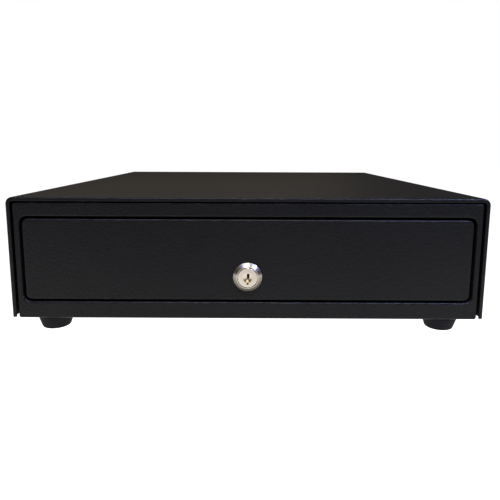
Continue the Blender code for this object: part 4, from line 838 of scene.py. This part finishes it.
def tray_shell(xs: np.ndarray, ys: np.ndarray, low: float, rim: float) -> Shape:
    """Outer walls and underside of a tray, with a point wherever two cells meet at the rim."""
    front = np.stack([xs, np.full(len(xs), ys[0])], axis=-1)
    right = np.stack([np.full(len(ys), xs[-1]), ys], axis=-1)
    back = front[::-1] * [1, 0] + [0, ys[-1]]
    left = right[::-1] * [0, 1] + [xs[0], 0]
    around = np.concatenate([front[:-1], right[:-1], back[:-1], left[:-1]])
    shape = grid(to_space(np.stack([around, around]), np.array([[low], [rim]]), Axis.Z), ring_columns=True)
    shape.faces.append(list(range(len(around))))
    return shape


@dataclass
class Till(Assembly):
    """Coin tray, dividers, clip rod and bill clips in the moulded till."""

    columns: int = 4
    rows: int = 2
    wall: float = 2.4 * MM
    corner: float = 7 * MM
    scoop: tuple = (5 * MM, 16 * MM, 16 * MM)
    edge: float = 0.9 * MM
    rod_edge: float = 0.4 * MM
    dip: float = 12 * MM
    dip_run: tuple = (25 * MM, 60 * MM)
    clip_thickness: float = 1.6 * MM
    clip_eye: float = 4.2 * MM
    clip_drop: float = 2.4 * MM
    clip_lead: float = 14 * MM
    clip_end: float = 3 * MM
    clip_curl: float = 5 * MM

    def build(self) -> None:
        """The coin tray is cup tiles over one shell; dividers and clips are outlines drawn out."""
        cups, soft, thin = self.coin_tray(), 0.45 * MM, 0.25 * MM
        self.pieces = [
            Piece("coin_cups", cups, PLASTIC, "drawer", ("coin_tray",), bevel=0.35 * MM, sharp=50),
            Piece("clip_bar", [self.rod()], ZINC, "drawer", ("clip_rod",)),
        ]
        for number in range(1, 5):
            node = f"bill_divider_{number}"
            shape = self.divider(node)
            self.pieces.append(Piece(f"divider_{number}", [shape], PLASTIC, "drawer", (node,), bevel=soft))
        for number in range(1, 6):
            node = f"bill_clip_{number}"
            shape = self.clip(node)
            self.pieces.append(Piece(f"clip_{number}", [shape], SPRING, node, (node,), bevel=thin))

    def coin_tray(self) -> list:
        """Cups in rows and columns, whose borders lie in the middle of the walls between them."""
        low, high = extent("coin_tray")
        floor = low[2] + self.wall
        size, starts, borders = [], [], []
        for axis, count in enumerate((self.columns, self.rows)):
            size.append((high[axis] - low[axis] - self.wall * (count + 1)) / count)
            starts.append(low[axis] + self.wall + np.arange(count) * (size[axis] + self.wall))
            inner = starts[axis][1:] - self.wall / 2
            borders.append(np.concatenate([[low[axis]], inner, [high[axis]]]))
        xs, ys = borders
        shapes = [tray_shell(xs, ys, low[2], high[2])]
        for i in range(self.columns):
            for j in range(self.rows):
                cell = (xs[i:i + 2], ys[j:j + 2])
                cup = ((starts[0][i], starts[0][i] + size[0]), (starts[1][j], starts[1][j] + size[1]))
                shapes.append(cup_tile(cell, cup, high[2], floor, self.corner, self.scoop, self.edge))
        return shapes

    def rod(self) -> Shape:
        """A round bar with broken ends."""
        low, high = extent("clip_rod")
        radius = (high[2] - low[2]) / 2
        bar = [(0, low[0]), (radius, low[0]), (radius, high[0]), (0, high[0])]
        return spun(rounded_turning(bar, self.rod_edge), Axis.X, 32).moved(centre_line(low, high, Axis.X))

    def divider(self, node: str) -> Shape:
        """The divider's outline with round corners, drawn across its thickness."""
        low, high = extent(node)
        dip, (rise, crest) = high[2] - self.dip, self.dip_run
        corners = [
            (low[1], low[2]), (high[1], low[2]), (high[1], high[2]), (low[1] + crest, high[2]),
            (low[1] + rise, dip), (low[1], dip),
        ]
        radii = np.array([0.8, 0.8, 3, 18, 12, 3]) * MM
        return extrusion(fillet(corners, radii, 8), Axis.X, low[0], high[0])

    def clip(self, node: str) -> Shape:
        """A curled spring arm: one strip whose section follows a smooth path from the eye to the tip.

        The path is an arc of the eye's radius round the rod, an arm that falls by the 0.7th power
        of its run at first, and a curl at the tip. It is turned so that it slopes to the tip.
        """
        low, high = extent(node)
        centre = centre_line(*extent("clip_rod"), Axis.X)
        fall = centre[2] - low[2]
        reach = np.hypot(centre[1] - low[1], fall)
        half = self.clip_thickness / 2
        eye = self.clip_eye - half
        turn = np.radians(np.linspace(-130, 90, 28))
        round_part = eye * np.stack([np.cos(turn), np.sin(turn)], axis=-1)
        run = np.linspace(self.clip_end, reach - self.clip_end, 30)[:, None]
        arm = np.hstack([-run, eye - self.clip_drop * np.minimum(run / self.clip_lead, 1) ** 0.7])
        curl = np.radians(np.linspace(0, 62, 9))[1:]
        end = arm[-1] + self.clip_curl * np.stack([-np.sin(curl), 1 - np.cos(curl)], axis=-1)
        path = np.vstack([round_part, arm, end])
        spread = np.gradient(path, axis=0)
        spread /= np.linalg.norm(spread, axis=1)[:, None]
        normal = np.stack([-spread[:, 1], spread[:, 0]], axis=-1)
        outline = np.vstack([path + normal * half, (path - normal * half)[::-1]])
        turned = math.asin(fall / reach) - math.atan2(arm[-1, 1], reach) / 2
        cos, sin = math.cos(turned), math.sin(turned)
        flat = outline @ np.array([(cos, sin), (-sin, cos)]) + centre[1:]
        return extrusion(flat, Axis.X, low[0], high[0])


@dataclass
class Runners(Assembly):
    """Rollers and the drawer's roller pins."""

    bore: float = 2.75 * MM
    hub: tuple = ((4.4, 0.3), (5.1, 0.9), (6.2, 0.9), (6.7, 0.0))
    pin_radius: float = 2.5 * MM
    pin_collar: tuple = (1.2 * MM, 2.2 * MM)
    pin_head: float = 1.0 * MM
    pin_edge: float = 0.3 * MM

    def build(self) -> None:
        """Rollers and pins are turned profiles with their edges broken."""
        self.pieces = []
        for side in ("left", "right"):
            for kind in ("case", "drawer"):
                node = f"{kind}_roller_{side}"
                self.pieces.append(Piece(f"{node}_wheel", [self.wheel(node)], NYLON, node, (node,), sharp=50))
            pin = f"drawer_roller_pin_{side}"
            self.pieces.append(Piece(f"{pin}_turned", [self.pin(pin)], ZINC, "drawer", (pin,), sharp=50))

    def wheel(self, node: str) -> Shape:
        """A roller with a raised hub, a shallow web and rounded treads, about its own bore."""
        low, high = extent(node)
        radius, half = (high[2] - low[2]) / 2, (high[0] - low[0]) / 2
        one = [(self.bore, self.hub[0][1] * MM - half)]
        one += [(reach * MM, sunk * MM - half) for reach, sunk in self.hub] + [(radius, -half)]
        profile = one + [(reach, -run) for reach, run in reversed(one)]
        radii = np.array([0.15, 0.25, 0.3, 0.3, 0.3, 0.9, 0.9, 0.3, 0.3, 0.3, 0.25, 0.15]) * MM
        return spun(fillet(profile, radii, 4, 0.2 * MM), Axis.X, 56, ring=True).moved((low + high) / 2)

    def pin(self, node: str) -> Shape:
        """A riveted pin: a domed end, a shank and a collar against the rail."""
        low, high = extent(node)
        side = 1 if high[0] > 0 else -1
        near, far = sorted((abs(low[0]), abs(high[0])))
        head, shank = (high[2] - low[2]) / 2, self.pin_radius
        inner, outer = (near + run for run in self.pin_collar)
        last = far - self.pin_head
        profile = [
            (0, near), (shank, near), (shank, inner), (head, inner), (head, outer), (shank, outer),
            (shank, last), (head, last), (head, far), (0, far),
        ]
        turned = rounded_turning(profile, self.pin_edge)
        turned[:, 1] *= side
        return spun(turned, Axis.X, 40).moved(centre_line(low, high, Axis.X))


def cross_head(radius: float, domed: float, recess: float, rings: int = 22, turns: int = 64) -> tuple:
    """Rings of a screw head with a cross recess: the height is a function of radius and angle.

    The dome falls by d (r / R)^2. The recess is cut where the distance from either arm's middle
    line is less than its half width, and its depth falls off smoothly towards its walls.

    Args:
        radius: radius R of the head.
        domed: fall d of the dome at the rim.
        recess: depth of the cross.
        rings: rings from the middle outwards.
        turns: points on each ring.

    Returns:
        Arrays (radius, height above the head's middle) of shape (rings, turns), and the angles.
    """
    angle = np.linspace(0, math.tau, turns, endpoint=False)
    reach = radius * np.linspace(0.0, 1.0, rings)[:, None] ** 0.9
    one, other = np.abs(reach * np.cos(angle)), np.abs(reach * np.sin(angle))
    across, along = np.minimum(one, other), np.maximum(one, other)
    arm = np.clip((0.15 * radius - across) / (0.08 * radius), 0, 1)
    end = np.clip((0.62 * radius - along) / (0.10 * radius), 0, 1)
    level = -domed * (reach / radius) ** 2 - recess * arm * end
    return np.broadcast_to(reach, level.shape), level, angle


@dataclass
class Fasteners(Assembly):
    """Cross-head screws at the back and in the feet, with (head's height, shank's radius) by axis."""

    sizes: tuple = ((Axis.Y, 1.6 * MM, 1.75 * MM), (Axis.Z, 2.4 * MM, 2.0 * MM))
    dome: float = 0.45 * MM
    recess: float = 1.0 * MM
    rim: float = 0.75 * MM
    thread: float = 0.7 * MM
    thread_depth: float = 0.28 * MM

    def build(self) -> None:
        """Every screw is a polar grid: the head's face, its rim, then the shank."""
        self.pieces = []
        screws = [(f"rear_screw_{number}", Axis.Y, 1) for number in range(1, 5)]
        screws += [(f"foot_screw_{place}", Axis.Z, -1) for place in Feet.names]
        for node, axis, out in screws:
            shape = self.screw(node, axis, out)
            self.pieces.append(Piece(f"{node}_head", [shape], ZINC, "case", (node,), sharp=50))

    def screw(self, node: str, axis: Axis, out: int) -> Shape:
        """One screw along an axis, whose head faces the given way, with a groove for each turn of thread."""
        low, high = extent(node)
        other = [number for number in range(3) if number != axis.value]
        radius = (high[0] - low[0]) / 2
        head, shank = next(size for size in self.sizes if size[0] is axis)[1:]
        length = high[axis.value] - low[axis.value]
        top = high[axis.value] if out > 0 else low[axis.value]
        reach, level, angle = cross_head(radius, self.dome, self.recess)
        sides = [(radius, -self.rim), (radius, -head), (shank, -head)]
        for step in range(max(int((length - head) / self.thread), 2)):
            at = -head - 0.3 * MM - step * self.thread
            sides += [(shank, at), (shank - self.thread_depth, at - 0.25 * MM), (shank, at - 0.5 * MM)]
        rows = [(r, max(at, -length)) for r, at in sides] + [(0.8 * shank, -length), (POLE_RADIUS, -length)]
        rows = np.repeat(np.array(rows)[:, :, None], len(angle), axis=2)
        reach, level = np.vstack([reach, rows[:, 0]]), np.vstack([level, rows[:, 1]])
        flat = np.stack([reach * np.cos(angle), reach * np.sin(angle)], axis=-1) + ((low + high) / 2)[other]
        return grid(to_space(flat, top + out * level, axis), ring_columns=True)


def coil_path(axis: Axis, centre, radius: float, span, turns: float, each: int = 28) -> np.ndarray:
    """A helix (r cos a, r sin a) about an axis while the run goes evenly over its span."""
    angle = np.linspace(0, math.tau * turns, int(turns * each) + 1)
    run = np.linspace(span[0], span[1], len(angle))
    flat = radius * np.stack([np.cos(angle), np.sin(angle)], axis=-1)
    return to_space(flat, run, axis) + centre


@dataclass
class Release(Assembly):
    """Springs, coil and plunger of the electric release."""

    ejector_wire: float = 0.7 * MM
    ejector_turns: float = 8
    winding: float = 0.42 * MM
    winding_radius: float = 9.9 * MM
    bobbin_radius: float = 11.5 * MM
    bobbin_bore: float = 4.5 * MM
    bobbin_flange: float = 1.6 * MM
    ejector_fill: float = 0.98
    winding_fill: float = 0.97
    plunger_cap: float = 2 * MM
    plunger_neck: float = 6.6 * MM
    plunger_waist: float = 1.8 * MM

    def build(self) -> None:
        """Springs and windings are wires along helices; bobbin and plunger are turned."""
        low, high = extent("ejector_spring")
        wire = self.ejector_wire
        radius, span = (high[0] - low[0]) / 2 - wire, (low[1] + wire, high[1] - wire)
        path = coil_path(Axis.Y, centre_line(low, high, Axis.Y), radius, span, self.ejector_turns)
        spring = tube_along(path, wire * self.ejector_fill, 12)
        self.pieces = [
            Piece("ejector_coil", [spring], SPRING, "case", ("ejector_spring",), sharp=60),
            *self.coil(),
            Piece("plunger_turned", [self.plunger()], ZINC, "plunger", ("solenoid_plunger",), sharp=50),
        ]

    def coil(self) -> list:
        """A turned bobbin, and the copper wire wound on it side by side."""
        low, high = extent("solenoid_coil")
        centre = centre_line(low, high, Axis.Z)
        flange = self.bobbin_flange
        core = self.winding_radius - 2 * self.winding
        profile = [
            (self.bobbin_bore, low[2]), (self.bobbin_radius, low[2]), (self.bobbin_radius, low[2] + flange),
            (core, low[2] + flange), (core, high[2] - flange), (self.bobbin_radius, high[2] - flange),
            (self.bobbin_radius, high[2]), (self.bobbin_bore, high[2]),
        ]
        bobbin = spun(fillet(profile, 0.3 * MM, 3, 0.15 * MM), Axis.Z, 56, ring=True).moved(centre)
        span = (low[2] + flange + self.winding, high[2] - flange - self.winding)
        turns = int((span[1] - span[0]) / (2 * self.winding))
        wire = coil_path(Axis.Z, centre, self.winding_radius - self.winding, span, turns, 32)
        winding = tube_along(wire, self.winding * self.winding_fill, 8)
        return [
            Piece("coil_bobbin", [bobbin], PLASTIC, "case", ("solenoid_coil",), sharp=50),
            Piece("coil_winding", [winding], COPPER, "case", sharp=60),
        ]

    def plunger(self) -> Shape:
        """A turned rod with a waist that the latch's fork grips."""
        low, high = extent("solenoid_plunger")
        radius = (high[0] - low[0]) / 2
        cap = high[2] - self.plunger_cap
        neck, waist = cap - self.plunger_neck, self.plunger_waist
        profile = [
            (0, low[2]), (radius, low[2]), (radius, neck), (waist, neck), (waist, cap), (radius, cap),
            (radius, high[2]), (0, high[2]),
        ]
        return spun(rounded_turning(profile, 0.4 * MM), Axis.Z, 40).moved(centre_line(low, high, Axis.Z))


@dataclass
class Socket(Assembly):
    """Six contacts in the data socket's mouth."""

    contacts: int = 6
    pitch: float = 1.02 * MM
    wire: float = 0.23 * MM
    ceiling: float = 10.0 * MM
    setback: float = 1.6 * MM
    length: float = 8.0 * MM
    drop: float = 2.6 * MM

    def build(self) -> None:
        """Each contact is a wire that goes into the mouth and falls as sin(pi/2 * 1.5 s) of its run s."""
        low, high = extent("data_socket")
        middle = (low[0] + high[0]) / 2
        offsets = (np.arange(self.contacts) - (self.contacts - 1) / 2) * self.pitch
        run = np.linspace(0, 1, 18)
        y = high[1] - self.setback - run * self.length
        z = low[2] + self.ceiling - self.wire - self.drop * np.sin(np.minimum(run * 1.5, 1) * math.pi / 2)
        paths = [np.stack([np.full_like(run, middle + x), y, z], axis=-1) for x in offsets]
        shapes = [tube_along(path, self.wire, 8) for path in paths]
        self.pieces = [Piece("socket_contacts", shapes, BRASS, "case", sharp=60)]


@dataclass
class Softened(Assembly):
    """Folded and moulded pieces that keep their solid's shape, with their edges broken."""

    def build(self) -> None:
        """Every piece is its solid's own surface, finished with a narrow bevel."""
        self.pieces = [
            Piece(f"{node}_body", [solid_shape(node)], finish, body, (node,), bevel=width, sharp=45)
            for finish, body, width, nodes in SOFTENED
            for node in nodes
        ]


SOFTENED = (
    (POWDER, "case", 0.35 * MM, ("base_plate",)),
    (POWDER, "drawer", 0.35 * MM, ("drawer_box",)),
    (PLASTIC, "drawer", 0.5 * MM, ("till_tray",)),
    (PLASTIC, "case", 0.3 * MM, ("microswitch", "data_socket")),
    (ZINC, "case", 0.25 * MM, (
        "case_rail_left", "case_rail_right", "case_guide_left", "case_guide_right", "latch_bracket",
        "solenoid_yoke",
    )),
    (ZINC, "drawer", 0.25 * MM, ("drawer_rail_left", "drawer_rail_right", "striker")),
    (ZINC, "lock", 0.25 * MM, ("lock_cam", "cam_nut")),
    (ZINC, "latch", 0.25 * MM, ("latch_lever",)),
    (BRASS, "drawer", 0.3 * MM, ("lock_nut",)),
)

CARRIED = (
    (POWDER, ("rear_panel",)),
    (ZINC, ("latch_pin",)),
    (SLEEVE, ("wiring_loom",)),
    (SPRING, ("latch_spring", "switch_lever")),
)


# ---------------------------------------------------------------- studio


@dataclass
class Studio:
    """Pale floor, soft lights, white surround and the camera."""

    eye: tuple = (0.002, -0.5902, 0.1612)
    pitch: float = 0.1414
    yaw: float = 0.0023
    roll: float = -0.0039
    lens: float = 32.98
    shift: tuple = (0.0012, -0.0740)
    sensor: float = 36.0
    reach: tuple = (0.02, 20.0)
    lamps: tuple = (
        ("middle", (0.0, -0.75, 1.15), (0, -0.2, 0.1), (0.34, 0.16), 15.0, (1.0, 0.95, 0.86)),
        ("right", (0.72, -0.70, 0.95), (0.1, -0.2, 0.1), (0.5, 0.16), 38.0, (0.38, 0.46, 1.0)),
        ("left", (-0.36, -0.75, 1.1), (-0.05, -0.2, 0.1), (0.24, 0.16), 13.0, (0.46, 0.54, 1.0)),
        ("behind", (-0.26, 1.15, 0.95), (0, 0.0, 0.1), (1.4, 0.5), 1.7, (1.0, 0.84, 0.62)),
    )
    floor_half: float = 3.0
    floor_colour: tuple = (0.12, 0.12, 0.12, 1)
    glow_span: tuple = (-1.5, 1.0)
    glow: tuple = ((0.0, 0.5), (0.3, 0.5), (0.40, 0.8), (0.46, 1.7), (0.52, 1.5), (0.6, 1.0), (1.0, 0.98))
    room: tuple = ((0.02, (0.016, 0.015, 0.013, 1)), (0.8, (0.22, 0.20, 0.17, 1)))

    def camera(self) -> None:
        """The camera looks a little down on the middle of the drawer."""
        data = bpy.data.cameras.new("camera")
        data.sensor_width = self.sensor
        data.lens = self.lens
        data.shift_x, data.shift_y = self.shift
        data.clip_start, data.clip_end = self.reach
        obj = bpy.data.objects.new("camera", data)
        obj.location = self.eye
        obj.rotation_euler = (math.pi / 2 - self.pitch, self.roll, self.yaw)
        bpy.context.scene.collection.objects.link(obj)
        bpy.context.scene.camera = obj

    def floor(self) -> None:
        """A wide pale floor that glows a little, most beside the case, and is white to the eye."""
        half = self.floor_half
        mesh = bpy.data.meshes.new("floor")
        corners = np.array([(-half, -half, 0), (half, -half, 0), (half, half, 0), (-half, half, 0)])
        mesh.from_pydata(corners.tolist(), [], [[0, 1, 2, 3]])
        material = bpy.data.materials.new("floor")
        nodes = Nodes(material)
        sockets = nodes.shader.inputs
        sockets["Base Color"].default_value = self.floor_colour
        sockets["Roughness"].default_value = 0.9
        sockets["Specular IOR Level"].default_value = 0.0
        sockets["Emission Color"].default_value = (1, 1, 1, 1)
        apart = nodes.add("ShaderNodeSeparateXYZ")
        nodes.join(nodes.place, "Object", apart, "Vector")
        depth = nodes.add("ShaderNodeMapRange", From_Min=self.glow_span[0], From_Max=self.glow_span[1])
        nodes.join(apart, "Y", depth, "Value")
        glow = nodes.add("ShaderNodeFloatCurve")
        curve = glow.mapping.curves[0]
        for place, height in self.glow:
            curve.points.new(place, height)
        glow.mapping.update()
        nodes.join(depth, "Result", glow, "Value")
        path = nodes.add("ShaderNodeLightPath")
        seen = nodes.add("ShaderNodeMath")
        seen.operation = "MAXIMUM"
        nodes.join(glow, "Value", seen, 0)
        nodes.join(path, "Is Camera Ray", seen, 1)
        nodes.join(seen, "Value", nodes.shader, "Emission Strength")
        mesh.materials.append(material)
        obj = bpy.data.objects.new("floor", mesh)
        bpy.context.scene.collection.objects.link(obj)

    def surround(self) -> None:
        """White where the camera sees it, and a dim room for everything else."""
        world = bpy.data.worlds.new("surround")
        bpy.context.scene.world = world
        world.use_nodes = True
        tree = world.node_tree
        tree.nodes.clear()
        output = tree.nodes.new("ShaderNodeOutputWorld")
        seen = tree.nodes.new("ShaderNodeBackground")
        seen.inputs["Color"].default_value = (1, 1, 1, 1)
        seen.inputs["Strength"].default_value = 1.0
        room = tree.nodes.new("ShaderNodeBackground")
        place = tree.nodes.new("ShaderNodeTexCoord")
        apart = tree.nodes.new("ShaderNodeSeparateXYZ")
        height = tree.nodes.new("ShaderNodeValToRGB")
        for element, (level, colour) in zip(height.color_ramp.elements, self.room):
            element.position, element.color = level, colour
        tree.links.new(place.outputs["Generated"], apart.inputs["Vector"])
        tree.links.new(apart.outputs["Z"], height.inputs["Fac"])
        tree.links.new(height.outputs["Color"], room.inputs["Color"])
        path = tree.nodes.new("ShaderNodeLightPath")
        mix = tree.nodes.new("ShaderNodeMixShader")
        tree.links.new(path.outputs["Is Camera Ray"], mix.inputs["Fac"])
        tree.links.new(room.outputs["Background"], mix.inputs[1])
        tree.links.new(seen.outputs["Background"], mix.inputs[2])
        tree.links.new(mix.outputs["Shader"], output.inputs["Surface"])

    def lamp(self, name: str, place, target, size, power: float, colour) -> None:
        """A soft rectangular light that faces a point."""
        data = bpy.data.lights.new(name, "AREA")
        data.shape = "RECTANGLE"
        data.size, data.size_y = size
        data.energy = power
        data.color = colour
        obj = bpy.data.objects.new(name, data)
        bpy.context.scene.collection.objects.link(obj)
        away = np.asarray(target, float) - np.asarray(place, float)
        away /= np.linalg.norm(away)
        pitch = math.acos(-away[2])
        obj.location = place
        obj.rotation_euler = (pitch, 0, math.atan2(-away[0], away[1]))

    def build(self) -> None:
        """Set everything up."""
        bpy.context.scene.view_settings.view_transform = "Standard"
        self.camera()
        self.floor()
        self.surround()
        for name, place, target, size, power, colour in self.lamps:
            self.lamp(name, place, target, size, power, colour)


def main() -> None:
    """Build the pieces from the case inwards, then the studio."""
    logging.basicConfig(level=logging.INFO, format="%(message)s")
    for assembly in (
        Cover(), Frame(), Fascia(), Lock(), Feet(), Till(), Runners(), Fasteners(), Release(), Socket(),
        Softened(),
    ):
        assembly.build()
        assembly.dress()
    for finish, nodes in CARRIED:
        for node in nodes:
            dress_node(node, finish)
    Studio().build()


if __name__ == "__main__":
    main()
